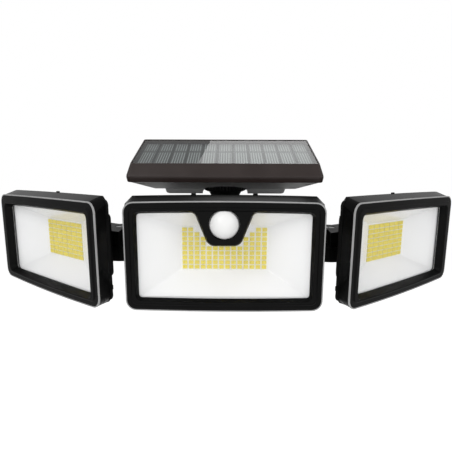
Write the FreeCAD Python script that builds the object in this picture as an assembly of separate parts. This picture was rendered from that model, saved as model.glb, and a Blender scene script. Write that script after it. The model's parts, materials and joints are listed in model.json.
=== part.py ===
"""Solar motion sensor security light with three lamp heads and a solar panel on a ball joint.

Millimetres. The wall plane is Y = 0 and the light faces -Y. X points right as seen from the front, Z up.
The origin is the middle of the wall plate's screw pattern on the wall plane.
Each lamp head is built in its own frame: X across, Y backwards from its bezel's outer band, Z up.
The solar panel is built in its own frame too: X across, Y up its slope, Z out of the glass.
"""
import FreeCAD
import Part
import math
import os
from types import SimpleNamespace

V = FreeCAD.Vector

# Lamp heads: what all three share
RING_PROUD = 0.8          # the raised ring stands this far in front of the outer band
BEZEL_T = 3.0             # depth of the middle head's bezel
FLANGE_T = 0.9            # the bezel's edge is this thin and the rest of it stands in by EDGE_IN
EDGE_IN = 0.8
STEP_IN = 3.3             # outer edge of the raised ring, in from the bezel's edge
STEP_SLOPE = 0.6
CORNER_R = 6.5
WINDOW_R = 2.2
LENS_LAP = 2.0
LENS_T = 2.0
GAP = 0.3
SEAL_T = 1.4
SEAL_FRONT = 0.2          # the seal's collar round the bezel starts this far behind the outer band
SEAL_BACK = 1.3           # and ends here, in front of the housing
SEAL_LIP = 0.9            # it stands this far out of the bezel's edge
SEAL_IN = 0.2             # the rest of the seal stands in by this much, inside the housing
HOUSING_LIP = 0.7
TRAY = 10.4               # rear edge of the housing, behind the outer band
CORNER_CUT = 5.3
BOARD_T = 1.6
BOARD_MARGIN = 1.0
BOARD_LAP = 3.0
LED_T = 0.7
REFLECTOR_T = 1.0
COVER_T = 2.0
COVER_SKIN = 2.5
COVER_RELIEF = 2.2        # the rear cover is cut away this far outside the reflector's white faces
EAR_R = 4.3
EAR_IN = 4.4              # cover screws stand this far in from both edges of the bezel
SCREW_R = 1.2
SCREW_HEAD_R = 2.4
SCREW_HEAD_T = 1.6
SCREW_END = 1.6           # the screws end this far behind the bezel's front
CLIP = (3.4, 1.0, 1.4)    # clip across, proud, along the depth

# The middle head, with its sensor tongue. front_t is how deep the bezel is and funnel how far its window's
# edge slopes outward.
CENTRE = SimpleNamespace(
    name="centre", w=136.0, h=75.0, bow=(0.8, 0.8), win_w=119.8, win_h=59.6, win_z=0.3,
    front_t=BEZEL_T, funnel=1.9, rear_x=1.5, rear_top=3.9, board_y=20.3, back_y=40.0, box=(112.0, 62.0), box_in=4.0,
    cols=14, rows=9, pitch_x=4.494, pitch_z=3.519, led=(3.5, 2.8), led_x=0.0, led_z=2.0,
    clips_x=(-21.5, 21.5), clips_z=(-18.0, 18.0))
TONGUE_TOP = 20.5         # half width where it leaves the window's top edge
TONGUE_FOOT = 9.6
TONGUE_SIDE = 12.6        # half width where the slope turns into the foot's round corner
TONGUE_SIDE_Z = 10.8
TONGUE_FOOT_Z = 7.6
PIR_Z = 23.0
PIR_R = 10.2
PIR_HEIGHT = 6.2
PIR_FLANGE = 1.6
TUBE_R = 12.2             # black tube behind the tongue that shades the sensor
TUBE_BACK = 9.4
SENSOR_R = 4.6

# The two side heads
SIDE = SimpleNamespace(
    name="side", w=140.4, h=70.3, bow=(0.3, 1.2), win_w=121.8, win_h=54.7, win_z=-0.95,
    front_t=5.0, funnel=2.2, rear_x=-0.5, rear_top=3.9, board_y=17.4, back_y=30.0, box=(100.0, 56.0), box_in=4.0,
    cols=7, rows=8, pitch_x=7.24, pitch_z=3.57, led=(6.2, 3.0), led_x=1.6, led_z=2.0,
    clips_x=(6.0,), clips_z=(-23.4, -13.0, 25.0))

# Where the heads stand
CENTRE_AT = (0.0, -125.0, -3.0)
CENTRE_TILT = 2.6         # degrees that the middle head faces down
SIDE_AT = (139.0, -93.8, 0.0)
SIDE_YAW = 38.7           # degrees that a side head is turned outward
SIDE_TILT = 1.2

# Tilt joints behind the heads, in each head's frame
TILT_R = 7.5
TILT_BOLT_R = 2.5
TILT_HEAD_R = 4.6
TILT_HEAD_T = 2.4
CENTRE_TILT_Y = 50.0
CENTRE_TONGUE = 7.0       # half thickness of the middle head's lug
SIDE_TILT_Y = 40.0
SIDE_TILT_Z = -2.0
ARM_TONGUE = 6.0
LUG_GAP = 0.4
LUG_T = 5.0
FIT = 0.05

# Arms
ARM_TOP = 10.5
ARM_SPLIT = -4.4
ARM_FOOT = -16.5
SWING_R = 15.0
SWING_X = 23.0            # the swing axis from the tilt axis, across and backwards
SWING_Y = 16.0
SWING_FLAT = 11.5         # the barrel's front is cut flat this far from its axis
ARM_PLATE = ((17.0, -5.5), (48.0, -5.5), (37.1, 10.9), (23.0, 16.0))
ARM_PLATE_Z = 0.0         # underside of the plate that braces the barrel
SWING_BOLT_R = 3.0
BODY_LUG_R = 13.8         # smaller than the barrel, so that the side head clears it at every swing

# Rear body
BODY_W = 104.0
BODY_TOP = 20.0
BODY_FOOT = -20.0
BODY_FRONT = -66.0
BODY_BACK = -18.0
BODY_WALL = 2.5
BODY_R = 5.0
LID_T = 4.0
CELL_R = 9.2
CELL_L = 65.0
CELLS_Y = (-50.5, -31.0)
CRADLE_X = 24.0
LID_PILLAR_IN = 6.0       # lid screws stand this far in from the body's sides

# Wall plate
PLATE_W = 100.0
PLATE_H = 62.0
PLATE_T = 3.0
PLATE_R = 8.0
PLATE_BOSS = (66.0, 34.0)
PLATE_SCREW_X = 22.0
PLATE_SCREW_R = 1.6
PLATE_HEAD_R = 3.0
WALL_X = 80.0             # between the wall screws
WALL_Z = 47.0
WALL_HOLE_R = 2.4

# Neck and ball joint
NECK_Y = -65.0
BALL_Z = 38.0
BALL_R = 8.5
CUP_T = 1.6
CUP_FLANGE_R = 12.9
CUP_FLANGE = (44.4, 45.3)
CUP_SLOT = 4.9            # half width of the slot in which the stem tilts
NECK_R = 10.3
NECK_FLANGE_R = 15.0
NECK_SCREWS = ((-8.0, -56.5), (8.0, -56.5))
NECK_TOP = 44.1
SHELF_Z = 13.5            # underside of the neck's seat, which stands out over the middle head's lug
SOCKET_R = 13.4
RING_R = 17.0
RING_FOOT_R = 14.4
RING_FOOT = 39.9
RING_LIP = 45.6           # underside of the lip that presses on the cup's flange
RING_TOP = 47.2
RING_TOP_R = 12.6
RING_OPEN_R = 10.4
RING_RIDGES = 40
STEM_R = 4.5

# Solar panel
PANEL_AT = (0.0, -97.1, 61.5)
PANEL_TILT = 22.6         # degrees that the glass leans forward
GLASS_W = 137.0
GLASS_L = 54.0
GLASS_T = 2.6
RIM = 1.0
RIM_PROUD = 0.4
FRAME_W = 143.6
FRAME_FRONT = -10.1
FRAME_REAR = 60.0
BEVEL = 6.1
LIP_MID = 8.1             # the lip stands upright down to here, then draws in to its foot
LIP_FOOT = 10.8
LIP_IN = 0.4
FRAME_OPEN = (128.0, 46.0)
CELLS = 11
CELL_GAP = 2.4
CELL_BORDER = 2.6
CELL_T = 0.3
CELL_BOARD_T = 0.6
HUMP = ((142.0, -9.3, 59.2, 10.8), (117.2, 17.0, 53.0, 28.1), (97.2, 18.5, 51.0, 33.0))
HUMP_SKIN = 2.2
POCKET_R = 18.4
STEM_FLANGE_R = 11.0
STEM_FLANGE_T = 3.0
PANEL_SCREWS = ((63.0, -2.0), (63.0, 54.4))
PANEL_SCREW_SEAT = 12.2

# Mode button under the rear body
BUTTON_Y = -55.0
BUTTON_R = 4.6
BUTTON_PROUD = 3.0
BUTTON_FLANGE_R = 5.6
BUTTON_FLANGE_T = 1.2


def save(name, shape):
    """One solid, or a group of separate ones, per file."""
    state = "valid" if shape.isValid() else "BROKEN"
    print(name, len(shape.Solids), "solids", round(shape.Volume), "mm3", state)
    shape.exportStep("parts/" + name + ".step")


def edges_of(points):
    """Edges through a list of corners; a corner pair with a middle point between them is an arc."""
    edges = []
    for kind, start, middle, end in points:
        if kind == "arc":
            edges.append(Part.Arc(start, middle, end).toShape())
        else:
            edges.append(Part.LineSegment(start, end).toShape())
    return edges


def outline(w, h, y, corner=CORNER_R, bow=(0.0, 0.0), cut=False, x=0.0, z=0.0):
    """Closed outline across a head at depth y, with round or cut corners and its top and foot bowed out."""
    hw, hh, r = w / 2.0, h / 2.0, corner
    k = r * (1.0 - math.sqrt(0.5))
    pieces = []
    for sx, sz in ((1, 1), (-1, 1), (-1, -1), (1, -1)):
        side = V(x + sx * hw, y, z + sz * (hh - r))
        end = V(x + sx * (hw - r), y, z + sz * hh)
        middle = V(x + sx * (hw - k), y, z + sz * (hh - k))
        kind = "line" if cut else "arc"
        if sx * sz > 0:
            pieces.append((kind, side, middle, end))
            rise = bow[0] if sz > 0 else bow[1]
            level = V(x, y, z + sz * (hh + rise))
            pieces.append(("arc" if rise else "line", end, level, V(x - sx * (hw - r), y, z + sz * hh)))
        else:
            pieces.append((kind, end, middle, side))
            pieces.append(("line", side, None, V(x + sx * hw, y, z - sz * (hh - r))))
    return Part.Wire(edges_of(pieces))


def slab(wire, depth):
    """The wire's face pushed backwards by depth."""
    return Part.Face(wire).extrude(V(0, depth, 0))


def loft(*wires):
    return Part.makeLoft(list(wires), True, True)


def block(x0, x1, y0, y1, z0, z1):
    return Part.makeBox(x1 - x0, y1 - y0, z1 - z0, V(x0, y0, z0))


def rod(radius, start, end):
    """Cylinder from one point to another."""
    a, b = V(*start), V(*end)
    return Part.makeCylinder(radius, (b - a).Length, a, b - a)


def rounded(shape, radius, pick):
    """Fillets the edges that pick chooses."""
    return shape.makeFillet(radius, [e for e in shape.Edges if pick(e)])


def along(axis):
    """Chooses straight edges that run along one axis."""
    def pick(edge):
        if not isinstance(edge.Curve, Part.Line):
            return False
        direction = edge.tangentAt(edge.FirstParameter)
        return abs(getattr(direction, axis)) > 0.999
    return pick


def join(first, *others):
    return first.fuse(list(others)).removeSplitter()


def turned_round(profile, at):
    """Revolves a list of (radius, height) corners about the vertical line through at."""
    points = [V(at[0] + r, at[1], z) for r, z in profile]
    face = Part.Face(Part.makePolygon(points + [points[0]]))
    return face.revolve(V(at[0], at[1], 0), V(0, 0, 1), 360)


def place_head(shape, side):
    """Puts a head's piece in the light: side is 0 for the middle head, -1 left, 1 right."""
    at = CENTRE_AT if side == 0 else (side * SIDE_AT[0], SIDE_AT[1], SIDE_AT[2])
    yaw = side * SIDE_YAW
    tilt = CENTRE_TILT if side == 0 else SIDE_TILT
    turn = FreeCAD.Rotation(V(0, 0, 1), yaw).multiply(FreeCAD.Rotation(V(1, 0, 0), tilt))
    moved = shape.copy()
    moved.Placement = FreeCAD.Placement(V(*at), turn)
    return moved


def place_panel(shape):
    moved = shape.copy()
    moved.Placement = FreeCAD.Placement(V(*PANEL_AT), FreeCAD.Rotation(V(1, 0, 0), PANEL_TILT))
    return moved


def screw_points(h):
    """Where the cover screws stand, across the head."""
    x, z, rise = h.w / 2 - EAR_IN, h.h / 2 - EAR_IN, h.rear_top / 2
    return [(-x, rise - z), (x, rise - z), (-x, rise + z), (x, rise + z)]


def rear_outline(h, y):
    """Outline of the head's rear edge: it reaches higher than the bezel and its corners are cut."""
    return outline(h.w + 2 * h.rear_x, h.h + h.rear_top, y, CORNER_CUT, h.bow, cut=True, z=h.rear_top / 2)


def window(h, y, more=0.0):
    return outline(h.win_w + 2 * more, h.win_h + 2 * more, y, WINDOW_R + more, h.bow, z=h.win_z)


def lens_outline(h, y, more=0.0):
    lap = LENS_LAP + more
    return outline(h.win_w + 2 * lap, h.win_h + 2 * lap, y, 5.0, h.bow, z=h.win_z)


def tongue_outline(y, more=0.0):
    """The black tongue that hangs into the middle window, widened by more."""
    top_z = CENTRE.win_z + CENTRE.win_h / 2 + 2.0
    mid_z = (TONGUE_SIDE_Z + TONGUE_FOOT_Z) / 2 - 0.7
    top, side, foot = TONGUE_TOP + more, TONGUE_SIDE + more, TONGUE_FOOT + more
    corners = [V(-top, y, top_z), V(-side, y, TONGUE_SIDE_Z), V(-foot, y, TONGUE_FOOT_Z - more),
               V(foot, y, TONGUE_FOOT_Z - more), V(side, y, TONGUE_SIDE_Z), V(top, y, top_z)]
    turn_x = (side + foot) / 2 + 0.5
    edges = edges_of([
        ("line", corners[0], None, corners[1]),
        ("arc", corners[1], V(-turn_x, y, mid_z - more), corners[2]),
        ("line", corners[2], None, corners[3]),
        ("arc", corners[3], V(turn_x, y, mid_z - more), corners[4]),
        ("line", corners[4], None, corners[5]),
        ("line", corners[5], None, corners[0])])
    return Part.Wire(edges)


def bezel_body(h):
    """The bezel behind its thin flange, from the flange's front to its back."""
    return slab(outline(h.w - 2 * EDGE_IN, h.h - 2 * EDGE_IN, 0.0, CORNER_R - EDGE_IN, h.bow), h.front_t)


def bezel(h):
    """Stepped front frame: a low outer band, a raised ring and a slope down to the window."""
    ring = h.w - 2 * STEP_IN, h.h - 2 * STEP_IN
    flange = slab(outline(h.w, h.h, 0.0, CORNER_R, h.bow), FLANGE_T)
    band = join(flange, bezel_body(h))
    step = loft(outline(ring[0], ring[1], 0.0, 4.2, h.bow),
                outline(ring[0] - 2 * STEP_SLOPE, ring[1] - 2 * STEP_SLOPE, -RING_PROUD, 3.6, h.bow))
    hole = loft(window(h, h.front_t), window(h, -RING_PROUD, h.funnel))
    frame = join(band, step).cut(hole)
    for x, z in screw_points(h):
        frame = frame.cut(rod(SCREW_R, (x, SCREW_END, z), (x, h.front_t, z)))
    return frame


def centre_bezel():
    """The middle bezel carries the tongue, with a round seat for the sensor dome."""
    tongue = slab(tongue_outline(-RING_PROUD), BEZEL_T + RING_PROUD)
    frame = join(bezel(CENTRE), tongue)
    frame = frame.cut(rod(PIR_R + GAP, (0, -2, PIR_Z), (0, BEZEL_T + 1, PIR_Z)))
    return frame


def lens(h):
    return slab(lens_outline(h, h.front_t), LENS_T)


def centre_lens():
    """The middle window is cut out round the sensor."""
    return lens(CENTRE).cut(tube_room())


def seal_back(h):
    """Outline of the seal inside the housing."""
    return outline(h.w - 2 * SEAL_IN, h.h - 2 * SEAL_IN, SEAL_BACK, CORNER_R - SEAL_IN, h.bow)


def seal(h):
    """Light grey rubber: a collar round the bezel's flange, a wall behind it and a frame behind the bezel."""
    w, hh = h.w + 2 * SEAL_LIP, h.h + 2 * SEAL_LIP
    collar = slab(outline(w, hh, SEAL_FRONT, CORNER_R + SEAL_LIP, h.bow), SEAL_BACK - SEAL_FRONT)
    wall = slab(seal_back(h), h.front_t + SEAL_T - SEAL_BACK)
    ring = join(collar, wall)
    ring = ring.cut([slab(outline(h.w, h.h, SEAL_FRONT - 1, CORNER_R, h.bow), FLANGE_T - SEAL_FRONT + 1),
                     bezel_body(h), slab(lens_outline(h, h.front_t - 1, GAP), SEAL_T + 2)])
    for x, z in screw_points(h):
        ring = ring.cut(rod(SCREW_R + FIT, (x, 0, z), (x, TRAY, z)))
    return ring


def housing(h):
    """Open tray from the seal's collar to the rear cover, its corners turning from round to cut."""
    w, hh = h.w + 2 * HOUSING_LIP, h.h + 2 * HOUSING_LIP
    shell = loft(outline(w, hh, SEAL_BACK, CORNER_R + HOUSING_LIP, h.bow), rear_outline(h, TRAY))
    shell = shell.cut([slab(seal_back(h), h.front_t + SEAL_T - SEAL_BACK),
                       slab(lens_outline(h, h.front_t, GAP), TRAY)])
    for x, z in screw_points(h):
        shell = shell.cut(rod(SCREW_R + FIT, (x, 0, z), (x, TRAY + 1, z)))
    return shell


def tube_room():
    """Room for the sensor's tube behind the tongue."""
    return rod(TUBE_R + GAP, (0, 0, PIR_Z), (0, TUBE_BACK + 1.2, PIR_Z))


def board_size(h):
    """Across and up: the white part of the LED board that shows in the reflector."""
    return ((h.cols - 1) * h.pitch_x + h.led[0] + 2 * BOARD_MARGIN,
            (h.rows - 1) * h.pitch_z + h.led[1] + 2 * BOARD_MARGIN)


def tray_shape(h, led_x, grow):
    """Solid that slopes from the window to the LED board, larger all round by grow."""
    bw, bh = board_size(h)
    corner = 1.2
    return loft(outline(h.win_w + 2 * grow, h.win_h + 2 * grow, h.front_t + LENS_T, corner, z=h.win_z),
                outline(bw + 2 * grow, bh + 2 * grow, h.board_y, corner, x=led_x, z=h.led_z))


def reflector(h, led_x):
    """White tray that slopes from the window to the LED board, with a flat flange behind the window."""
    flange = slab(lens_outline(h, h.front_t + LENS_T), REFLECTOR_T)
    return join(tray_shape(h, led_x, REFLECTOR_T), flange).cut(tray_shape(h, led_x, 0.0))


def centre_reflector():
    """The middle reflector has a hole for the sensor's tube."""
    return reflector(CENTRE, 0.0).cut(tube_room())


def led_places(h, led_x):
    """Rows from the top; the middle head leaves out those behind the tongue."""
    for row in range(h.rows):
        for col in range(h.cols):
            from_side = min(col, h.cols - 1 - col)
            if h.name == "centre" and from_side >= (2, 3, 4, 4, 99, 99, 99, 99, 99)[row]:
                continue
            yield (led_x + (col - (h.cols - 1) / 2.0) * h.pitch_x,
                   h.led_z + ((h.rows - 1) / 2.0 - row) * h.pitch_z)


def led_board(h, led_x):
    bw, bh = board_size(h)
    lap = BOARD_LAP
    return slab(outline(bw + 2 * lap, bh + 2 * lap, h.board_y, 2.0, x=led_x, z=h.led_z), BOARD_T)


def leds(h, led_x):
    w, t = h.led
    front = h.board_y - LED_T
    return Part.makeCompound([block(x - w / 2, x + w / 2, front, h.board_y, z - t / 2, z + t / 2)
                              for x, z in led_places(h, led_x)])


def rear_cover(h, led_x):
    """Flange with ears and clips, and a raised box behind it; posts press on the LED board."""
    plate = slab(rear_outline(h, TRAY), COVER_T)
    ears = [rod(EAR_R, (x, TRAY, z), (x, TRAY + COVER_T, z)) for x, z in screw_points(h)]
    side, top = h.w / 2 + h.rear_x, h.h / 2 + h.rear_top + h.bow[0]
    inward = -1 if led_x < 0 else 1
    clip_y = TRAY + COVER_T - CLIP[2]
    clips = [block(inward * x - CLIP[0] / 2, inward * x + CLIP[0] / 2, clip_y, TRAY + COVER_T,
                   top - 2, top + CLIP[1]) for x in h.clips_x]
    for z in h.clips_z:
        clips += [block(x0, x1, clip_y, TRAY + COVER_T, z - CLIP[0] / 2, z + CLIP[0] / 2)
                  for x0, x1 in ((side - 1, side + CLIP[1]), (-side - CLIP[1], 1 - side))]
    bw, bh = h.box
    box = loft(outline(bw, bh, TRAY, 6.0), outline(bw - 2 * h.box_in, bh - 2 * h.box_in, h.back_y, 4.0))
    s = COVER_SKIN
    hollow = loft(outline(bw - 2 * s, bh - 2 * s, TRAY, 4.0),
                  outline(bw - 2 * h.box_in - 2 * s, bh - 2 * h.box_in - 2 * s, h.back_y - s, 2.5))
    cover = join(plate, box, *(ears + clips)).cut([hollow, tray_shape(h, led_x, COVER_RELIEF)])
    back_of_board = h.board_y + BOARD_T
    gw, gh = board_size(h)
    posts = [rod(2.2, (led_x + sx * (gw / 2 - 2), back_of_board, h.led_z + sz * (gh / 2 - 1)),
                 (led_x + sx * (gw / 2 - 2), h.back_y - s + 0.5, h.led_z + sz * (gh / 2 - 1)))
             for sx in (-1, 1) for sz in (-1, 1)]
    cover = join(cover, *posts)
    for x, z in screw_points(h):
        cover = cover.cut(rod(SCREW_R + 0.2, (x, 0, z), (x, h.back_y, z)))
    return cover


def lug(x0, x1, y_root, y_axis, z_axis, z_low, z_high):
    """A cheek from x0 to x1 that rises from y_root and ends round on the axis."""
    r = TILT_R
    points = [V(x0, y_root, z_low), V(x0, y_axis, z_axis - r), V(x0, y_axis + r, z_axis),
              V(x0, y_axis, z_axis + r), V(x0, y_root, z_high)]
    wire = Part.Wire(edges_of([
        ("line", points[0], None, points[1]), ("arc", points[1], points[2], points[3]),
        ("line", points[3], None, points[4]), ("line", points[4], None, points[0])]))
    return Part.Face(wire).extrude(V(x1 - x0, 0, 0))


def centre_cover():
    """The middle cover ends in one thick lug that hangs in the rear body's fork."""
    t, y = CENTRE_TONGUE, CENTRE_TILT_Y
    cover = join(rear_cover(CENTRE, 0.0), lug(-t, t, CENTRE.back_y - 1, y, 0.0, -13.0, 13.0))
    return cover.cut(rod(TILT_BOLT_R + FIT, (-t - 1, y, 0), (t + 1, y, 0)))


def side_cover(led_x):
    """A side cover ends in two lugs that take the arm between them."""
    y, z = SIDE_TILT_Y, SIDE_TILT_Z
    near = ARM_TONGUE + LUG_GAP
    lugs = [lug(x0, x0 + LUG_T, SIDE.back_y - 1, y, z, z - 11.0, z + 11.0) for x0 in (near, -near - LUG_T)]
    cover = join(rear_cover(SIDE, led_x), *lugs)
    return cover.cut(rod(TILT_BOLT_R, (-20, y, z), (20, y, z)))


def cover_screws(h):
    """Pan-head screws from the cover's ears through housing and seal into the bezel."""
    y = TRAY + COVER_T
    screws = []
    for x, z in screw_points(h):
        shank = rod(SCREW_R, (x, SCREW_END, z), (x, y, z))
        head = rod(SCREW_HEAD_R, (x, y, z), (x, y + SCREW_HEAD_T, z))
        slot = [block(x - 1.5, x + 1.5, y + 0.8, y + 3, z - 0.3, z + 0.3),
                block(x - 0.3, x + 0.3, y + 0.8, y + 3, z - 1.5, z + 1.5)]
        screws.append(join(shank, head).cut(slot))
    return Part.makeCompound(screws)


def hexagon(x, radius, y, z, length):
    """Six-sided bar along X."""
    corners = [V(x, y + radius * math.cos(a), z + radius * math.sin(a))
               for a in [math.radians(60 * k) for k in range(7)]]
    return Part.Face(Part.makePolygon(corners)).extrude(V(length, 0, 0))


def bolt_along_x(radius, half, y, z):
    """Bolt with a round head on one end and a hexagon nut on the other, both shaped on one piece."""
    shank = rod(radius, (-half, y, z), (half, y, z))
    head = rod(TILT_HEAD_R, (-half - TILT_HEAD_T, y, z), (-half, y, z))
    nut = hexagon(half, TILT_HEAD_R, y, z, 3.2)
    return join(shank, head, nut).cut(hexagon(-half - TILT_HEAD_T, 2.0, y, z, 1.4))


def pir_dome():
    """White sensor lens: a dome with a flange that sits behind the tongue's seat."""
    rise = PIR_HEIGHT
    ball = (PIR_R ** 2 + rise ** 2) / (2 * rise)
    top = 1.2 - rise
    cap = Part.makeSphere(ball, V(0, top + ball, PIR_Z))
    cap = cap.common(rod(PIR_R, (0, top - 1, PIR_Z), (0, 1.2, PIR_Z)))
    inner = Part.makeSphere(ball - 0.9, V(0, top + ball, PIR_Z))
    skirt = rod(PIR_R, (0, 1.2, PIR_Z), (0, BEZEL_T + 0.2, PIR_Z))
    flange = rod(TUBE_R - 0.8, (0, BEZEL_T + 0.2, PIR_Z), (0, BEZEL_T + 0.2 + PIR_FLANGE, PIR_Z))
    dome = join(cap, skirt, flange)
    return dome.cut([inner, rod(PIR_R - 1.2, (0, 1.0, PIR_Z), (0, 9, PIR_Z))])


def sensor_tube():
    """Black tube that carries the dome and keeps the LEDs' light off the sensor."""
    front, back = BEZEL_T + 0.2, TUBE_BACK
    tube = rod(TUBE_R, (0, front, PIR_Z), (0, back, PIR_Z))
    tube = tube.cut(rod(TUBE_R - 1.6, (0, front + PIR_FLANGE, PIR_Z), (0, back - 1.6, PIR_Z)))
    seat = rod(TUBE_R - 0.75, (0, front - 1, PIR_Z), (0, front + PIR_FLANGE, PIR_Z))
    return tube.cut([seat, rod(SENSOR_R + GAP, (0, back - 3, PIR_Z), (0, back + 1, PIR_Z))])


def pir_sensor():
    """Round metal can with its window, standing on the tube's floor plate."""
    floor = TUBE_BACK
    can = rod(SENSOR_R, (0, floor - 6.0, PIR_Z), (0, floor, PIR_Z))
    brim = rod(SENSOR_R + 1.4, (0, floor, PIR_Z), (0, floor + 0.8, PIR_Z))
    opening = block(-2.0, 2.0, floor - 7.0, floor - 5.6, PIR_Z - 1.5, PIR_Z + 1.5)
    return join(can, brim).cut(opening)


def control_board():
    """Circuit board on the middle cover's floor, with its chips and a coil."""
    y = CENTRE.back_y - COVER_SKIN - 6.0
    board = block(-26.0, 26.0, y, y + 1.6, -14.0, 14.0)
    parts = [block(-18.0, -8.0, y - 2.0, y, -5.0, 5.0), block(2.0, 8.0, y - 1.6, y, -9.0, -3.0),
             rod(4.0, (16.0, y - 5.0, 5.0), (16.0, y, 5.0))]
    legs = [rod(2.0, (sx * 22.0, y + 1.6, sz * 10.0), (sx * 22.0, CENTRE.back_y - COVER_SKIN, sz * 10.0))
            for sx in (-1, 1) for sz in (-1, 1)]
    return join(board, *(parts + legs))


def arm_frame(side):
    """Frame on a side head's tilt axis: upright, turned with the head."""
    head = place_head(Part.Vertex(V(0, SIDE_TILT_Y, SIDE_TILT_Z)), side).Point
    return FreeCAD.Placement(head, FreeCAD.Rotation(V(0, 0, 1), side * SIDE_YAW))


def swing_point(side):
    """The swing axis in plan."""
    return arm_frame(side).multVec(V(-side * SWING_X, SWING_Y, 0))


def arm(side):
    """Upper half of the swing barrel, a bar, and the tongue between the head's lugs."""
    base = arm_frame(side).Base
    low, high = ARM_SPLIT - base.z, ARM_TOP - base.z
    cx, cy = -side * SWING_X, SWING_Y
    barrel = Part.makeCylinder(SWING_R, high - low, V(cx, cy, low))
    front_cut = block(cx - 20, cx + 20, cy - 30, cy - SWING_FLAT, low - 1, high + 1)
    barrel = barrel.cut(front_cut)
    x0, x1 = sorted((-side * -ARM_TONGUE, cx))
    bar = block(x0, x1, SWING_Y - 6.5, SWING_Y + 7.0, low, high)
    bar = rounded(bar, 2.0, lambda e: along("x")(e) and e.CenterOfMass.z > high - 0.1)
    t = ARM_TONGUE
    knuckle = rod(TILT_R, (-t, 0, 0), (t, 0, 0))
    web = block(-t, t, 0.0, SWING_Y + 7.0, -TILT_R, TILT_R)
    corners = [V(-side * x, y, ARM_PLATE_Z - base.z) for x, y in ARM_PLATE]
    plate = Part.Face(Part.makePolygon(corners + corners[:1])).extrude(V(0, 0, ARM_TOP - ARM_PLATE_Z))
    body = join(barrel, bar, web, knuckle, plate)
    body = body.cut([rod(TILT_BOLT_R + FIT, (-20, 0, 0), (20, 0, 0)),
                     Part.makeCylinder(SWING_BOLT_R + FIT, 60, V(cx, cy, -30)),
                     Part.makeCylinder(5.6, 10, V(cx, cy, high - 3.7)),
                     rod(TILT_R + 0.5, (-side * t, 0, 0), (-side * (t + LUG_GAP + LUG_T + 3.8), 0, 0))])
    body.Placement = arm_frame(side)
    return body


def swing_bolt(side):
    """Bolt down the swing barrel, its head sunk in the arm's top and its nut under the rear body's lug."""
    p = swing_point(side)
    head = Part.makeCylinder(5.2, 3.0, V(p.x, p.y, ARM_TOP - 3.4))
    shank = Part.makeCylinder(SWING_BOLT_R, ARM_TOP - 3.4 - ARM_FOOT, V(p.x, p.y, ARM_FOOT))
    nut = Part.makeCylinder(5.0, 3.2, V(p.x, p.y, ARM_FOOT))
    cross = [block(p.x - 2.6, p.x + 2.6, p.y - 0.5, p.y + 0.5, ARM_TOP - 1.8, ARM_TOP),
             block(p.x - 0.5, p.x + 0.5, p.y - 2.6, p.y + 2.6, ARM_TOP - 1.8, ARM_TOP)]
    return join(head, shank, nut).cut(cross)


def tilt_pivot():
    """The middle head's tilt axis in the light."""
    return place_head(Part.Vertex(V(0, CENTRE_TILT_Y, 0)), 0).Point


def lid_points():
    """Where the lid screws stand."""
    x, z = BODY_W / 2 - LID_PILLAR_IN, BODY_TOP - LID_PILLAR_IN
    return [(-x, -z), (x, -z), (-x, z), (x, z)]


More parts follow.
